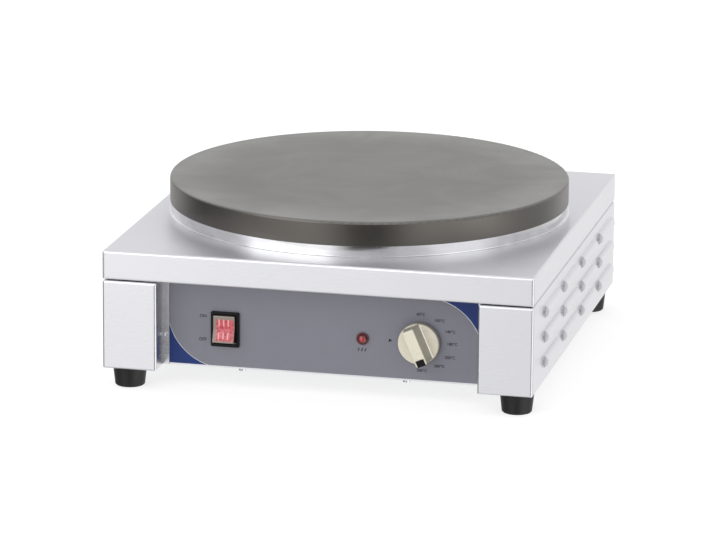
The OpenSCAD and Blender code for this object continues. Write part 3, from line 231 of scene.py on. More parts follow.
def brushed_sheet(name, colour, roughness):
    """Stainless sheet: grain along the sheet, round the sides and across the top, hardly
    seen hand marks, and painted shade, a darker colour, on the upright bends and round the
    roots of the louvres' ends where they stand out of the sides; the louvres' ends are also
    rougher."""
    f = Finish(name, colour, roughness, metallic=1.0)
    along, across = 9.0, 2600.0
    upright = f.noise(1.0, 2.0, at=f.stretched((along, along, across)))
    level = f.noise(1.0, 2.0, at=f.stretched((along, across, along)))
    lying = f.fit(f.worked("ABSOLUTE", f.part(f.facing, "Z")), 0.0, 1.0, 0.5, 0.8)
    streak = f.between(lying, upright, level)
    wiped = f.noise(5.0, 4.0, 0.6)
    shade = f.plus(f.fit(streak, 0.0, 0.4, 0.2, 0.8), f.fit(wiped, 0.0, 0.6, 0.3, 0.7))
    unshaded = f.mix(shade, dimmed(colour, 0.9), colour)

    # Painted shade: a darker colour on the upright bends and round the roots of the louvres' ends
    sideways = f.worked("ABSOLUTE", f.part(f.facing, "X"))
    endways = f.worked("ABSOLUTE", f.part(f.facing, "Y"))
    bend_shade = f.fit(f.times(endways, sideways), 0.0, 1.0, 0.1, 0.35)
    beyond = f.worked("ABSOLUTE", f.part(f.here, "X"))
    standing_out = f.fit(beyond, 0.0, 1.0, (SIDE_X + 0.1) * MM, (SIDE_X + 0.6) * MM)
    drawn = f.times(standing_out, f.fit(endways, 0.0, 1.0, 0.12, 0.6))
    root = f.fit(beyond, 1.0, 0.0, (SIDE_X + 1.0) * MM, (SIDE_X + 3.0) * MM)
    painted_shade = f.worked("MAXIMUM", f.fit(bend_shade, 0.0, 0.5), f.times(drawn, root))
    f.set("Base Color", f.mix(painted_shade, unshaded, dimmed(colour, 0.66)))

    rough = f.plus(f.fit(streak, -0.05, 0.05, 0.3, 0.7), f.fit(wiped, -0.04, 0.04, 0.3, 0.7))
    rough = f.plus(rough, f.plus(f.fit(lying, 0.0, 0.11), f.fit(drawn, 0.0, 0.45)))
    f.set("Roughness", f.plus(rough, roughness))
    f.relief(streak, 0.02, 0.35)
    return f


def plated(name, colour, roughness):
    """Plated or drawn metal: fine uneven gloss and a faint relief."""
    f = Finish(name, colour, roughness, metallic=1.0)
    fine = f.noise(900.0, 3.0)
    broad = f.noise(70.0, 3.0)
    f.set("Base Color", f.mottled(broad, colour, 0.9))
    f.set("Roughness", f.plus(f.fit(fine, -0.08, 0.08), roughness))
    f.relief(fine, 0.02, 0.4)
    return f


def galvanised(name, colour):
    """Zinc coated sheet: flat crystals of slightly different grey and gloss."""
    f = Finish(name, colour, 0.5, metallic=1.0)
    crystals = f.node("ShaderNodeTexVoronoi")
    f.feed(crystals.inputs["Vector"], f.here)
    f.feed(crystals.inputs["Scale"], 110.0)
    tone = f.part(crystals.outputs["Color"], "X")
    f.set("Base Color", f.mix(tone, dimmed(colour, 0.8), colour))
    f.set("Roughness", f.fit(tone, 0.38, 0.6))
    f.relief(f.noise(1500.0, 2.0), 0.01, 0.4)
    return f


def moulded(name, colour, roughness, grain=0.02, scale=2600.0, darkest=0.9, **sockets):
    """Moulded plastic or rubber: a grain of a depth and a fineness, and slightly uneven
    colour and gloss."""
    f = Finish(name, colour, roughness, **sockets)
    broad = f.noise(60.0, 4.0, 0.6)
    f.set("Base Color", f.mottled(broad, colour, darkest))
    f.set("Roughness", f.plus(f.fit(broad, -0.06, 0.06, 0.3, 0.7), roughness))
    f.relief(f.noise(scale, 2.0), grain, 0.5)
    return f


def knob_moulding(name, colour):
    """Knob's moulding: cream on the faces to the front, and painted shade greying the walls of
    the grip and of the disc, which are also a little rougher."""
    f = Finish(name, colour, 0.3)
    broad = f.noise(60.0, 4.0, 0.6)
    wall = f.fit(f.part(f.facing, "Y"), 0.0, 1.0, -0.92, -0.6)
    # Painted shade: the walls, which face away from the front, take a darker colour
    f.set("Base Color", f.mix(wall, f.mottled(broad, colour, 0.93), dimmed(colour, 0.55)))
    f.set("Roughness", f.plus(f.fit(broad, 0.24, 0.36, 0.3, 0.7), f.fit(wall, 0.0, 0.12)))
    f.relief(f.noise(1800.0, 2.0), 0.03, 0.5)
    return f


def seasoned_iron(name):
    """Cooking plate: fine turned rings in iron, paler round the rim of its top, partly wear and
    partly a painted sheen, and darkened by seasoning inside and on its side, with patches of
    uneven gloss."""
    black, brown, bare_and_sheen = (0.0055, 0.0046, 0.0038), (0.011, 0.0092, 0.0078), (0.12, 0.122, 0.115)
    f = Finish(name, black, 0.3, IOR=2.05, Specular_Tint=(1.0, 0.95, 0.87))
    away = f.away((0.0, PLATE_BACK * MM, 0.0), (1.0, 1.0, 0.0))
    rings = f.node("ShaderNodeTexNoise", noise_dimensions="1D")
    f.feed(rings.inputs["W"], away)
    f.feed(rings.inputs["Scale"], 1600.0)
    f.feed(rings.inputs["Detail"], 3.0)
    around = rings.outputs["Fac"]
    patches = f.noise(14.0, 6.0, 0.62, distortion=0.6)
    seasoned = f.mix(f.fit(patches, 0.0, 1.0, 0.35, 0.7), black, brown)
    # The paler top rim is partly wear and partly a painted sheen on the faces that look up
    top = f.fit(f.part(f.facing, "Z"), 0.0, 1.0, 0.4, 0.95)
    rim = f.fit(away, 0.3, 1.0, 140.0 * MM, 188.0 * MM)
    wear_and_sheen = f.times(rim, f.fit(patches, 1.0, 0.6, 0.35, 0.7))
    f.set("Base Color", f.mix(f.times(top, wear_and_sheen), seasoned, bare_and_sheen))
    f.set("Roughness", f.plus(f.fit(around, -0.04, 0.04, 0.3, 0.7),
                              f.fit(patches, 0.3, 0.36, 0.3, 0.7)))
    grain = f.plus(f.fit(around, 0.0, 0.8), f.fit(f.noise(1300.0, 3.0), 0.0, 0.5))
    f.relief(grain, 0.05, 0.5)
    return f


def turned_steel(name, colour, roughness):
    """Polished collar: thin lines round an upright axis, in bands of darker polish."""
    f = Finish(name, colour, roughness, metallic=1.0)
    lines = f.noise(1.0, 3.0, at=f.stretched((14.0, 14.0, 1500.0)))
    bands = f.noise(1.0, 3.0, 0.6, at=f.stretched((16.0, 16.0, 30.0)))
    f.set("Base Color", f.mottled(bands, colour, 0.72, 0.35, 0.65))
    f.set("Roughness", f.plus(f.fit(lines, -0.03, 0.05, 0.3, 0.7), roughness))
    f.relief(lines, 0.02, 0.5)
    return f


def lit_rocker(name):
    """Clear red moulding with a lamp behind it: clouded inside, pale where it is thick, along
    its left and at its ends, and darkened by painted shade on the faces that do not face the
    front."""
    red, pink = (0.28, 0.008, 0.022), (0.48, 0.08, 0.095)
    pale, side_shade = (0.17, 0.145, 0.12), (0.03, 0.008, 0.008)
    f = Finish(name, red, 0.22, Coat_Weight=0.4, Coat_Roughness=0.08)
    from_middle = f.stretched((1 / MM,) * 3, (SWITCH_X * MM, 0.0, CONTROL_Z * MM))
    window = f.times(f.band(f.part(from_middle, "X"), (-8.8, -6.6), (9.4, 10.2)),
                     f.band(f.part(from_middle, "Z"), (-10.6, -9.2), (9.8, 11.8)))
    cloudy = f.noise(330.0, 3.0)
    lit = f.mix(f.fit(cloudy, 0.0, 1.0, 0.38, 0.62), red, pink)
    # Painted shade: faces turned away from the front take the dark colour
    front = f.fit(f.part(f.facing, "Y"), 1.0, 0.0, -0.7, -0.3)
    colour = f.mix(front, side_shade, f.mix(window, pale, lit))
    f.set("Base Color", colour)
    f.set("Emission Color", colour)
    f.set("Emission Strength", 0.24)
    f.relief(cloudy, 0.03, 0.3)
    return f


def rocker_rib(name):
    """Raised bars of the rocker: the same clear moulding, paler where the lamp shines
    through them."""
    f = Finish(name, (0.6, 0.24, 0.26), 0.2, Coat_Weight=0.4,
               Emission_Color=(0.9, 0.34, 0.36), Emission_Strength=0.2)
    f.set("Roughness", f.fit(f.noise(700.0, 2.0), 0.15, 0.3))
    f.relief(f.noise(900.0, 2.0), 0.02, 0.3)
    return f


def clear_lens(name):
    """Pilot lamp's lens: deep red, bright over the lamp in its middle, with faint rings as
    the sine of the distance from the middle."""
    bright, deep, ringed = (0.36, 0.02, 0.025), (0.06, 0.003, 0.005), (0.3, 0.02, 0.02)
    f = Finish(name, deep, 0.18, Coat_Weight=0.6, Coat_Roughness=0.08, IOR=1.49)
    away = f.away((LAMP_X * MM, 0.0, CONTROL_Z * MM), (1.0, 0.0, 1.0))
    ring = f.fit(f.worked("SINE", f.times(away, 2600.0)), 0.0, 1.0, -1.0, 1.0)
    glow = f.mix(f.fit(away, 0.0, 1.0, 1.2 * MM, 3.4 * MM), bright, deep)
    f.set("Base Color", f.mix(f.fit(ring, 0.0, 0.2), glow, ringed))
    f.set("Emission Color", glow)
    f.set("Emission Strength", 0.15)
    f.relief(ring, 0.05, 0.2)
    return f


def fibre_board(name, colour):
    """Pressed ceramic fibre: matted threads and small pits."""
    f = Finish(name, colour, 0.95)
    threads = f.noise(260.0, 8.0, 0.7, distortion=1.5)
    f.set("Base Color", f.mottled(threads, colour, 0.8))
    f.relief(threads, 0.6, 0.6)
    return f


def heated_sheath(name, colour):
    """Element's sheath: oxide in brown patches over dull metal."""
    f = Finish(name, colour, 0.5, metallic=0.8)
    brown = (0.13, 0.1, 0.085)
    oxide = f.noise(90.0, 5.0, 0.65)
    f.set("Base Color", f.mix(f.fit(oxide, 0.0, 1.0, 0.35, 0.65), brown, colour))
    f.set("Roughness", f.fit(oxide, 0.4, 0.62, 0.3, 0.7))
    f.relief(f.noise(2200.0, 3.0), 0.02, 0.5)
    return f


def white_floor(name):
    """Floor of the studio: even white that gives back a little light of its own."""
    f = Finish(name, (0.42, 0.42, 0.42), 0.9, Specular_IOR_Level=0.0,
               Emission_Color=(1.0, 1.0, 1.0), Emission_Strength=0.7)
    f.set("Base Color", f.mix(f.noise(3.0, 3.0), (0.415, 0.415, 0.415), (0.425, 0.425, 0.425)))
    f.relief(f.noise(400.0, 2.0), 0.1, 0.1)
    return f


# Finish of each material slot of the record
FINISHES = {
    "cast_iron": seasoned_iron("seasoned_iron"),
    "polished_steel": turned_steel("turned_steel", (0.87, 0.87, 0.88), 0.14),
    "stainless_steel": brushed_sheet("brushed_stainless", (0.785, 0.785, 0.812), 0.3),
    "galvanised_steel": galvanised("galvanised_sheet", (0.6, 0.61, 0.63)),
    "grey_film": moulded("grey_film", (0.175, 0.174, 0.206), 0.36, grain=0.015,
                         scale=3600.0, darkest=0.96),
    "blue_film": moulded("blue_film", (0.007, 0.028, 0.15), 0.36, grain=0.015,
                         scale=3600.0, Specular_IOR_Level=0.3),
    "black_plastic": moulded("black_moulding", (0.004, 0.004, 0.0045), 0.34,
                             Specular_IOR_Level=0.18),
    "rocker_red": lit_rocker("red_rocker"),
    "lens_red": clear_lens("red_lens"),
    "lamp_ring": moulded("dark_red_ring", (0.075, 0.004, 0.006), 0.25, grain=0.01,
                         Coat_Weight=0.5),
    "tinned_brass": plated("tinned_brass", (0.72, 0.6, 0.36), 0.28),
    "ivory_plastic": moulded("ivory_moulding", (0.72, 0.66, 0.53), 0.42),
    "cream_plastic": knob_moulding("cream_moulding", (0.66, 0.62, 0.5)),
    "dark_plastic": moulded("dark_moulding", (0.045, 0.045, 0.05), 0.4),
    "copper": plated("drawn_copper", (0.72, 0.36, 0.22), 0.3),
    "element_sheath": heated_sheath("heated_sheath", (0.22, 0.19, 0.18)),
    "zinc_plated": plated("bright_zinc", (0.72, 0.73, 0.75), 0.26),
    "insulation": fibre_board("fibre_board", (0.8, 0.77, 0.7)),
    "rubber": moulded("foot_rubber", (0.01, 0.01, 0.01), 0.5, grain=0.08, scale=1400.0,
                      darkest=0.7, Specular_IOR_Level=0.35),
    "brown_wire": moulded("brown_sleeve", (0.12, 0.055, 0.03), 0.5),
    "blue_wire": moulded("blue_sleeve", (0.02, 0.07, 0.3), 0.5),
    "green_wire": moulded("green_sleeve", (0.08, 0.3, 0.04), 0.5),
}
# Finishes of the pieces that only this script makes
INK = moulded("dark_ink", (0.008, 0.008, 0.014), 0.5, grain=0.01, scale=5000.0,
              darkest=0.8, Specular_IOR_Level=0.2)
# Bead's finish: pale and glowing, a painted highlight along the grip's root
BEAD_HIGHLIGHT = moulded("painted_highlight_bead", (0.9, 0.88, 0.8), 0.3, grain=0.01, scale=1800.0,
                     darkest=0.96, Emission_Color=(1.0, 0.97, 0.88), Emission_Strength=0.2)
RIB_LIGHT = rocker_rib("pale_rib")


def dress_nodes():
    """Gives each CAD node the finish of its material slot in the record."""
    for part in frame["record"]["subparts"]:
        mesh = frame["nodes"][part["node"]].data
        finish = FINISHES[part["material_slot"]].material
        if not mesh.materials:
            mesh.materials.append(finish)
        for i in range(len(mesh.materials)):
            mesh.materials[i] = finish


# ---------- shapes ----------

def on_fascia(points, x, out=0.0):
    """Carries points from the fascia's own frame, in millimetres, into the part's, in metres:
    (px, py, pz) goes to (x + px, film - out - pz, height of the controls + py)."""
    px, py, pz = np.moveaxis(np.asarray(points, float), -1, 0)
    return np.stack([px + x, FILM_FRONT - out - pz, py + CONTROL_Z], axis=-1) * MM


def on_film(points, x, height):
    """Carries the points of a mark to its place on the film, at a height above the worktop."""
    return on_fascia(points + np.array([x, height - CONTROL_Z, 0.0]), 0.0)


def turned_about_x(points, angle):
    """Points turned about the x axis: y' = y cos - z sin, z' = y sin + z cos."""
    c, s = math.cos(angle), math.sin(angle)
    return points @ np.array([[1.0, 0.0, 0.0], [0.0, c, s], [0.0, -s, c]])


def turned_about_z(points, angle):
    """Points turned about the z axis: x' = x cos - y sin, y' = x sin + y cos."""
    c, s = math.cos(angle), math.sin(angle)
    return points @ np.array([[c, s, 0.0], [-s, c, 0.0], [0.0, 0.0, 1.0]])


def circle_rings(profile, around):
    """Surface of revolution: a point of the profile at radius r and height z goes to
    (r cos a, r sin a, z) for a round the full turn."""
    profile = np.asarray(profile, float)
    a = np.linspace(0.0, 2.0 * math.pi, around, endpoint=False)
    r, z = profile[:, :1], profile[:, 1:]
    return np.stack([r * np.cos(a), r * np.sin(a), z + 0.0 * a], axis=-1)


def soft_rectangles(steps, corner_points=8):
    """Stack of rounded rectangles: each step is (half width, half height, corner radius, z).
    A point is a corner's centre plus the radius times the direction of the angle."""
    steps = np.asarray(steps, float)
    turn = np.linspace(0.0, math.pi / 2.0, corner_points)
    angles = np.concatenate([turn + q * math.pi / 2.0 for q in range(4)])
    side_x = np.repeat([1.0, -1.0, -1.0, 1.0], corner_points)
    side_y = np.repeat([1.0, 1.0, -1.0, -1.0], corner_points)
    w, h, r, z = (steps[:, i:i + 1] for i in range(4))
    return np.stack([side_x * (w - r) + r * np.cos(angles),
                     side_y * (h - r) + r * np.sin(angles), z + 0.0 * angles], axis=-1)


def round_edge(out_from, out_to, z_from, z_to, steps=5):
    """Quarter ellipse between two (offset, height) pairs: it leaves the first along z and
    meets the second along the offset."""
    t = np.linspace(0.0, math.pi / 2.0, steps)
    return np.stack([out_to + (out_from - out_to) * np.cos(t),
                     z_from + (z_to - z_from) * np.sin(t)], axis=-1)


def ring_skin(rings):
    """Closed shell over a stack of rings: quads between rings, and a fan over each end."""
    count, around = rings.shape[:2]
    points = np.vstack([rings.reshape(-1, 3), rings[0].mean(0), rings[-1].mean(0)])
    index = np.arange(count * around).reshape(count, around)
    ahead = np.roll(index, -1, axis=1)
    walls = np.stack([index[:-1], ahead[:-1], ahead[1:], index[1:]], axis=-1).reshape(-1, 4)
    first = np.stack([ahead[0], index[0], np.full(around, count * around)], axis=-1)
    last = np.stack([index[-1], ahead[-1], np.full(around, count * around + 1)], axis=-1)
    return points, walls.tolist() + first.tolist() + last.tolist()


def signed_volume(points, faces):
    """Sum over the fans of triangles of a . (b x c) / 6, positive when faces point outwards."""
    total = 0.0
    for size in {len(face) for face in faces}:
        corners = points[np.array([face for face in faces if len(face) == size])]
        corners = corners - points.mean(0)
        for i in range(1, size - 1):
            cross = np.cross(corners[:, i], corners[:, i + 1])
            total += np.einsum("ij,ij->", corners[:, 0], cross) / 6.0
    return total


def piece(name, shells, finish, body="body", replaces=()):
    """One object from closed shells in metres, with its faces turned outwards and creased
    past 35 degrees. It rides on a body, and stands for nodes."""
    points, faces = [], []
    for shell_points, shell_faces in shells:
        start = sum(len(p) for p in points)
        inward = signed_volume(shell_points, shell_faces) < 0.0
        step = -1 if inward else 1
        faces += [[start + i for i in face[::step]] for face in shell_faces]
        points.append(shell_points)
    mesh = bpy.data.meshes.new(name)
    mesh.from_pydata(np.vstack(points).tolist(), [], faces)
    mesh.shade_smooth()
    mesh.set_sharp_from_angle(angle=math.radians(35.0))
    mesh.materials.append(finish.material)
    made = bpy.data.objects.new(name, mesh)
    bpy.context.scene.collection.objects.link(made)
    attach(made, body)
    if replaces:
        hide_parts(*replaces)
    return made


# ---------- knob ----------

def knob_disc():
    """Hollow disc turned from a profile: bore, hub, cavity, skirt, round rim and a face that
    rises a little to its middle."""
    k = KNOB
    r, back, front = k["radius"], k["gap"], KNOB_FACE
    roof, cavity_r, pole_r, chamfer, crown = front - k["roof"], r - k["wall"], 0.4, 0.7, 0.2
    inside = [(pole_r, roof), (k["bore_r"], roof), (k["bore_r"], back), (k["hub_r"], back),
              (k["hub_r"], roof), (cavity_r, roof), (cavity_r, back), (r - chamfer, back),
              (r, back + chamfer)]
    rim = round_edge(r, r - k["rim"], front - k["rim"], front)
    face = [(0.8 * r, front + 0.6 * crown), (0.5 * r, front + 0.9 * crown),
            (pole_r, front + crown)]
    return circle_rings(np.vstack([inside, rim, face]), 128)


def knob_grip():
    """Grip: rounded outlines stacked from the root to a softly dished face. Out of the disc
    the half width falls by a quarter circle's fillet and an even taper."""
    k = KNOB
    top, half_l = KNOB_FACE + k["grip_h"], k["radius"] - k["grip_inset"]
    root, face = k["grip_root_w"] / 2, k["grip_w"] / 2
    let_in, fillet_h, flare, taper, edge = 0.8, 1.4, 1.1, 0.14, 0.9
    root_corner, face_corner, within_rim = 1.6, 1.4, 0.15
    rise = np.linspace(0.0, 1.0, 5)
    heights = np.concatenate([[KNOB_FACE - let_in], KNOB_FACE + fillet_h * rise])
    spread = np.concatenate([[1.0], 1.0 - np.sqrt(1.0 - (1.0 - rise) ** 2)])
    steps = [(half_l, root + flare * s - taper * max(0.0, z - KNOB_FACE), root_corner, z)
             for s, z in zip(spread, heights)]
    steps += [(half_l - inset, face - inset, face_corner, z)
              for inset, z in round_edge(0.0, edge, top - edge, top, 6)]
    for share, dish in ((0.8, 0.06), (0.5, 0.16), (0.12, 0.2)):
        length_share = (1.0 + share) / 2
        steps.append(((half_l - edge) * length_share, (face - edge) * share, 0.4 * share,
                      top - dish))
    rings = soft_rectangles(steps)
    reach = np.maximum(np.hypot(rings[..., 0], rings[..., 1]), 1e-6)
    onto_disc = np.minimum(1.0, (k["radius"] - within_rim) / reach)
    rings[..., :2] *= onto_disc[..., None]
    return turned_about_z(rings, k["angle"])


def highlight_bead():
    """Bead along the grip's root, on its right: half ellipses strung along the chord."""
    k = KNOB
    half_w, height, let_in, end, end_size, count = 0.55, 1.1, 0.2, 0.3, 0.5, 12
    beside_root, within_rim = 0.5, 1.2
    off = k["grip_root_w"] / 2 + beside_root
    reach = math.sqrt((k["radius"] - within_rim) ** 2 - off ** 2)
    along = np.concatenate([[-reach], np.linspace(-reach + end, reach - end, count), [reach]])
    size = np.concatenate([[end_size], np.ones(count), [end_size]])[:, None]
    t = np.linspace(0.0, math.pi, 9)
    y = off + half_w * size * np.cos(t)
    z = KNOB_FACE - let_in + height * size * np.sin(t)
    rings = np.stack([along[:, None] + 0.0 * y, y, z], axis=-1)
    return turned_about_z(rings, k["angle"])


def build_knob():
    """Knob with its grip, and the bead on it, whose pale glow is a painted highlight."""
    piece("highlight_bead", [ring_skin(on_fascia(highlight_bead(), KNOB_X))], BEAD_HIGHLIGHT,
          "knob")
    shells = [ring_skin(on_fascia(rings, KNOB_X)) for rings in (knob_disc(), knob_grip())]
    piece("control_knob", shells, FINISHES["cream_plastic"], "knob",
          ["thermostat_knob"])


# ---------- switch ----------

def build_switch():
    """Housing, bezel and well as one stack of rounded rectangles, from the back round the
    bezel's soft front edge and down into the well."""
    s = SWITCH
    (bezel_w, bezel_h), (well_w, well_h), (box_w, box_h) = s["bezel"], s["opening"], s["housing"]
    chamfer, edge, lip, corner, bezel_corner = 0.5, 0.9, 0.5, 0.6, 1.5
    behind_film, back_in, back_h, sharper = 0.02, 0.2, 0.25, 0.1
    steps = [(box_w - chamfer, box_h - chamfer, corner - sharper, -s["depth"]),
             (box_w, box_h, corner, chamfer - s["depth"]),
             (box_w, box_h, corner, -behind_film),
             (bezel_w - back_in, bezel_h - back_in, bezel_corner - sharper, 0.0),
             (bezel_w, bezel_h, bezel_corner, back_h)]
    steps += [(bezel_w - inset, bezel_h - inset, bezel_corner, z)
              for inset, z in round_edge(0.0, edge, s["out"] - edge, s["out"])]
    steps += [(well_w + lap, well_h + lap, corner, z)
              for lap, z in round_edge(0.0, lip, s["out"] - lip, s["out"])[::-1]]
    steps.append((well_w, well_h, corner, -s["well"]))
    piece("switch_moulding", [ring_skin(on_fascia(soft_rectangles(steps), SWITCH_X))],
          FINISHES["black_plastic"], "body", ["switch_housing"])


def rocker_placed(points):
    """From the rocker's own frame (x across, y up and z out of the pivot) to the part's. At
    rest its upper end is pressed in, by half its travel."""
    return on_fascia(turned_about_x(np.asarray(points), -ROCKER["tilt"] / 2), SWITCH_X,
                     -ROCKER["sunk"])


def rocker_rings():
    """Rocker as rings stacked across its width. A ring's distance from the pivot is one over
    the root of the summed powers of the inverse distances to its bounds: the round sweep at
    the back, the flat back, the two ends and the two sloping faces. The high power keeps the
    edges between them crisp."""
    k = ROCKER
    slope, power, edge, around = math.tan(k["tilt"] / 2), 24.0, 0.7, 240
    a = np.linspace(0.0, 2.0 * math.pi, around, endpoint=False)
    out, up = np.cos(a), np.abs(np.sin(a))
    inverse = np.stack([(out < 0.0) / k["radius"], np.maximum(0.0, -out) / k["back"],
                        (out >= 0.0) * up / k["end"],
                        np.maximum(0.0, out - slope * up) / k["face"]])
    reach = (inverse ** power).sum(0) ** (-1.0 / power)
    inset, across = round_edge(0.0, edge, k["half_w"] - edge, k["half_w"]).T
    across = np.concatenate([-across[::-1], across])
    inset = np.concatenate([inset[::-1], inset])
    r = reach[None, :] - inset[:, None]
    return np.stack([across[:, None] + 0.0 * r, r * np.sin(a), r * np.cos(a)], axis=-1)


def rocker_ribs():
    """Six raised bars: rounded outlines stacked out of each sloping face, softened by two
    steps in at the top."""
    w, h, out, corner = RIB["half_w"], RIB["half_h"], RIB["out"], 0.7
    bar = soft_rectangles([(w, h, corner, -out), (w, h, corner, 0.2),
                           (w - 0.1, h - 0.1, corner - 0.1, 0.42),
                           (w - 0.35, h - 0.4, corner - 0.3, out)], 5)
    shells = []
    for up in (-1, 1):
        for column in (-1, 0, 1):
            at = bar + np.array([column * RIB["pitch"], up * RIB["up"], 0.0])
            leaned = turned_about_x(at, up * ROCKER["tilt"] / 2)
            shells.append(ring_skin(rocker_placed(leaned + np.array([0, 0, ROCKER["face"]]))))
    return shells


def build_rocker():
    """Rocker and its ribs, which tilt together."""
    piece("rocker_moulding", [ring_skin(rocker_placed(rocker_rings()))],
          FINISHES["rocker_red"], "rocker", ["switch_rocker"])
    piece("rocker_ribs", rocker_ribs(), RIB_LIGHT, "rocker")


# ---------- print on the film ----------

def text_shells(words, size):
    """Words as thin solids. Each is a word, with the x of its middle and the middle's height
    above the worktop."""
    shells = []
    for word, x, height in words:
        curve = bpy.data.curves.new("word", "FONT")
        curve.body = word
        curve.size = size
        curve.align_x = "CENTER"
        curve.align_y = "CENTER"
        curve.extrude = INK_THICK / 2
        curve.offset = INK_SPREAD
        curve.resolution_u = 4
        holder = bpy.data.objects.new("word", curve)
        mesh = bpy.data.meshes.new_from_object(holder)
        points = np.empty(len(mesh.vertices) * 3)
        mesh.vertices.foreach_get("co", points)
        points = points.reshape(-1, 3) + np.array([0.0, 0.0, INK_THICK / 2])
        shells.append((on_film(points, x, height), [list(p.vertices) for p in mesh.polygons]))
        bpy.data.objects.remove(holder)
        bpy.data.meshes.remove(mesh)
        bpy.data.curves.remove(curve)
    return shells


def heat_waves(x, height):
    """Three upright wavy strokes: each is a ribbon whose middle sways as the sine of the
    height."""
    half_w, half_h, sway, pitch = 0.5, 1.6, 0.5, 3.4
    t = np.linspace(-1.0, 1.0, 25)
    shells = []
    for column in (-1, 0, 1):
        middle = column * pitch + sway * np.sin(t * math.pi)
        ring = [np.stack([middle + side * half_w, half_h * t, 0.0 * t + z], axis=-1)
                for side, z in ((-1, 0.0), (1, 0.0), (1, INK_THICK), (-1, INK_THICK))]
        shells.append(ring_skin(on_film(np.stack(ring, axis=1), x, height)))
    return shells


def marker(x, height, size):
    """Small triangle at the side of the knob, which points to the right."""
    outline = np.array([[-size, -size, 0.0], [size, 0.0, 0.0], [-size, size, 0.0]])
    rings = np.stack([outline, outline + (0.0, 0.0, INK_THICK)])
    return [ring_skin(on_film(rings, x, height))]


def build_print():
    """Numbers of the dial, words of the switch, the heat mark and the dial's marker."""
    dial = [("60°C", 97.0, 89.2), ("100°C", 115.6, 84.1), ("140°C", 126.1, 73.6),
            ("180°C", 128.1, 61.4), ("220°C", 126.2, 47.9), ("260°C", 115.9, 38.7),
            ("300°C", 98.6, 33.2)]
    switch = [("ON", -119.5, 73.1), ("OFF", -120.0, 49.6)]
    for name, shells in (("dial_numbers", text_shells(dial, 4.0)),
                         ("switch_words", text_shells(switch, 4.4)),
                         ("heat_mark", heat_waves(39.3, 50.2)),
                         ("dial_marker", marker(67.4, 61.3, 1.7))):
        piece(name, shells, INK)


# ---------- screws ----------

def cross_arm(along, off):
    """1 inside an arm of the cross and 0 outside it, with a short slope at its edges, in
    shares of the head's radius."""
    half_l, half_w, end_slope, side_slope = 0.58, 0.15, 0.06, 0.05
    return (np.clip((half_l - np.abs(along)) / end_slope, 0, 1)
            * np.clip((half_w - np.abs(off)) / side_slope, 0, 1))


def cross_screw(head_r, head_h, shank_r, shank_l):
    """Pan head with a cross recess, then its shank. The head's height falls with the square
    of the distance from its middle, and by an even slope more from the share edge_at of its
    radius on. The recess is cut where an arm of the cross is 1. The falls and the cut are
    shares of the head's height."""
    around, fall, edge_fall, edge_at, cut, chamfer = 64, 0.35, 0.4, 0.88, 0.55, 0.4
    share = np.concatenate([np.linspace(0.02, 0.9, 26), np.linspace(0.93, 1.0, 5)])
    past_edge = np.clip(share - edge_at, 0, 1) / (1.0 - edge_at)
    dome = head_h * (1.0 - fall * share ** 2 - edge_fall * past_edge)
    rings = circle_rings(np.stack([share * head_r, dome], axis=-1), around)
    x, y = rings[..., 0] / head_r, rings[..., 1] / head_r
    rings[..., 2] -= cut * head_h * np.maximum(cross_arm(x, y), cross_arm(y, x))
    shank = circle_rings([(head_r, 0.0), (shank_r, 0.0), (shank_r, chamfer - shank_l),
                          (shank_r - chamfer, -shank_l)], around)
    return np.concatenate([rings, shank])


def build_screws():
    """Screws that hold the base panel from below, two along each side, with their heads down."""
    b = BASE
    corners = [(sx, sy) for sx in (-1, 1) for sy in (-1, 1)]
    places = [(sx * b["screw_off"], sy * (b["panel_y"] - b["screw_in"]), b["bottom"])
              for sx, sy in corners]
    places += [(sx * (b["half_w"] - b["flange"]), sy * b["screw_off"], b["bottom"])
               for sx, sy in corners]
    half_turn_about_x = np.array([1.0, -1.0, -1.0])
    head_down = cross_screw(**SCREW) * half_turn_about_x
    shells = [ring_skin((head_down + np.array(place)) * MM) for place in places]
    piece("cross_base_screws", shells, FINISHES["zinc_plated"], "body",
          ["base_screws"])


# ---------- stage ----------

def pale_air():
    """Light of a pale room, by direction. The azimuth is the arc tangent of x over -y. The
    air follows AIR up to the horizon, and fades to an even white by a third of the way up."""
    world = bpy.data.worlds.new("pale_air")
    world.use_nodes = True
    bpy.context.scene.world = world
    w = Wiring(world.node_tree)
    way = w.node("ShaderNodeTexCoord").outputs["Generated"]
    azimuth = w.worked("ARCTAN2", w.part(way, "X"), w.times(w.part(way, "Y"), -1.0))
    light = w.node("ShaderNodeValToRGB")
    w.feed(light.inputs["Fac"], w.fit(azimuth, 0.0, 1.0, -math.pi, math.pi))
    stops = light.color_ramp.elements
    for degrees, _ in AIR[1:-1]:
        stops.new(0.5 + degrees / 360.0)
    for stop, (_, value) in zip(stops, AIR):
        stop.color = (value, value, value, 1.0)
    even, even_from = (0.9, 0.9, 0.92), math.sin(math.radians(30.0))
    high = w.fit(w.part(way, "Z"), 0.0, 1.0, 0.0, even_from)
    shade = w.mix(high, light.outputs["Color"], even)
    w.feed(w.tree.nodes["Background"].inputs["Color"], shade)


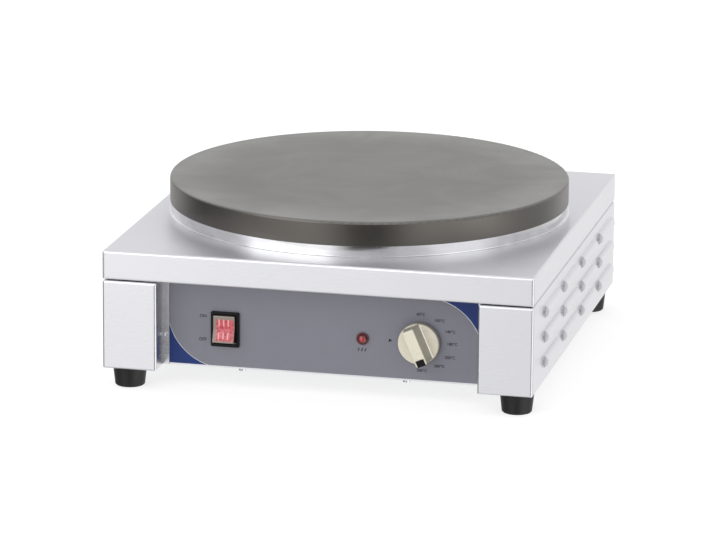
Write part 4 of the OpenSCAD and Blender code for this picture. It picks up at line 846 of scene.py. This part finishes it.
def build_floor():
    """Square floor, left out of what the metal reflects, which sees the air below instead."""
    half = 6.0
    mesh = bpy.data.meshes.new("floor")
    mesh.from_pydata([(-half, -half, 0), (half, -half, 0), (half, half, 0), (-half, half, 0)],
                     [], [(0, 1, 2, 3)])
    mesh.materials.append(white_floor("floor_white").material)
    floor = bpy.data.objects.new("floor", mesh)
    bpy.context.scene.collection.objects.link(floor)
    floor.visible_glossy = False


def soft_lamp():
    """Large soft lamp at the front left, turned to the body."""
    lamp = bpy.data.lights.new("key", "AREA")
    lamp.size, lamp.energy = 3.2, 40.0
    holder = bpy.data.objects.new("key", lamp)
    holder.location = (-1.7, -2.6, 1.3)
    middle_of_body = Vector((0.0, 0.0, 0.1))
    aim = middle_of_body - holder.location
    holder.rotation_euler = aim.to_track_quat("-Z", "Y").to_euler()
    bpy.context.scene.collection.objects.link(holder)


def camera():
    """Camera in front, to the right and above, worked out from its angles and distance. The
    roll turns its right and up about the way back from the target."""
    azimuth, elevation, roll = (math.radians(CAMERA[a]) for a in ("azimuth", "elevation", "roll"))
    back = Vector((math.sin(azimuth) * math.cos(elevation),
                   -math.cos(azimuth) * math.cos(elevation), math.sin(elevation)))
    right = Vector((math.cos(azimuth), math.sin(azimuth), 0.0))
    up = back.cross(right)
    turned_right = math.cos(roll) * right + math.sin(roll) * up
    turned_up = math.cos(roll) * up - math.sin(roll) * right
    data = bpy.data.cameras.new("camera")
    data.sensor_width = 36.0
    data.lens = CAMERA["focal"] * data.sensor_width
    data.clip_end = 100.0
    eye = bpy.data.objects.new("camera", data)
    place = Matrix.Translation(Vector(CAMERA["target"]) + CAMERA["distance"] * back)
    eye.matrix_world = place @ Matrix((turned_right, turned_up, back)).transposed().to_4x4()
    bpy.context.scene.collection.objects.link(eye)
    bpy.context.scene.camera = eye


def studio():
    """Plain pale studio round the object."""
    bpy.context.scene.view_settings.view_transform = "Standard"
    pale_air()
    build_floor()
    soft_lamp()
    camera()


dress_nodes()
build_knob()
build_switch()
build_rocker()
build_print()
build_screws()
studio()
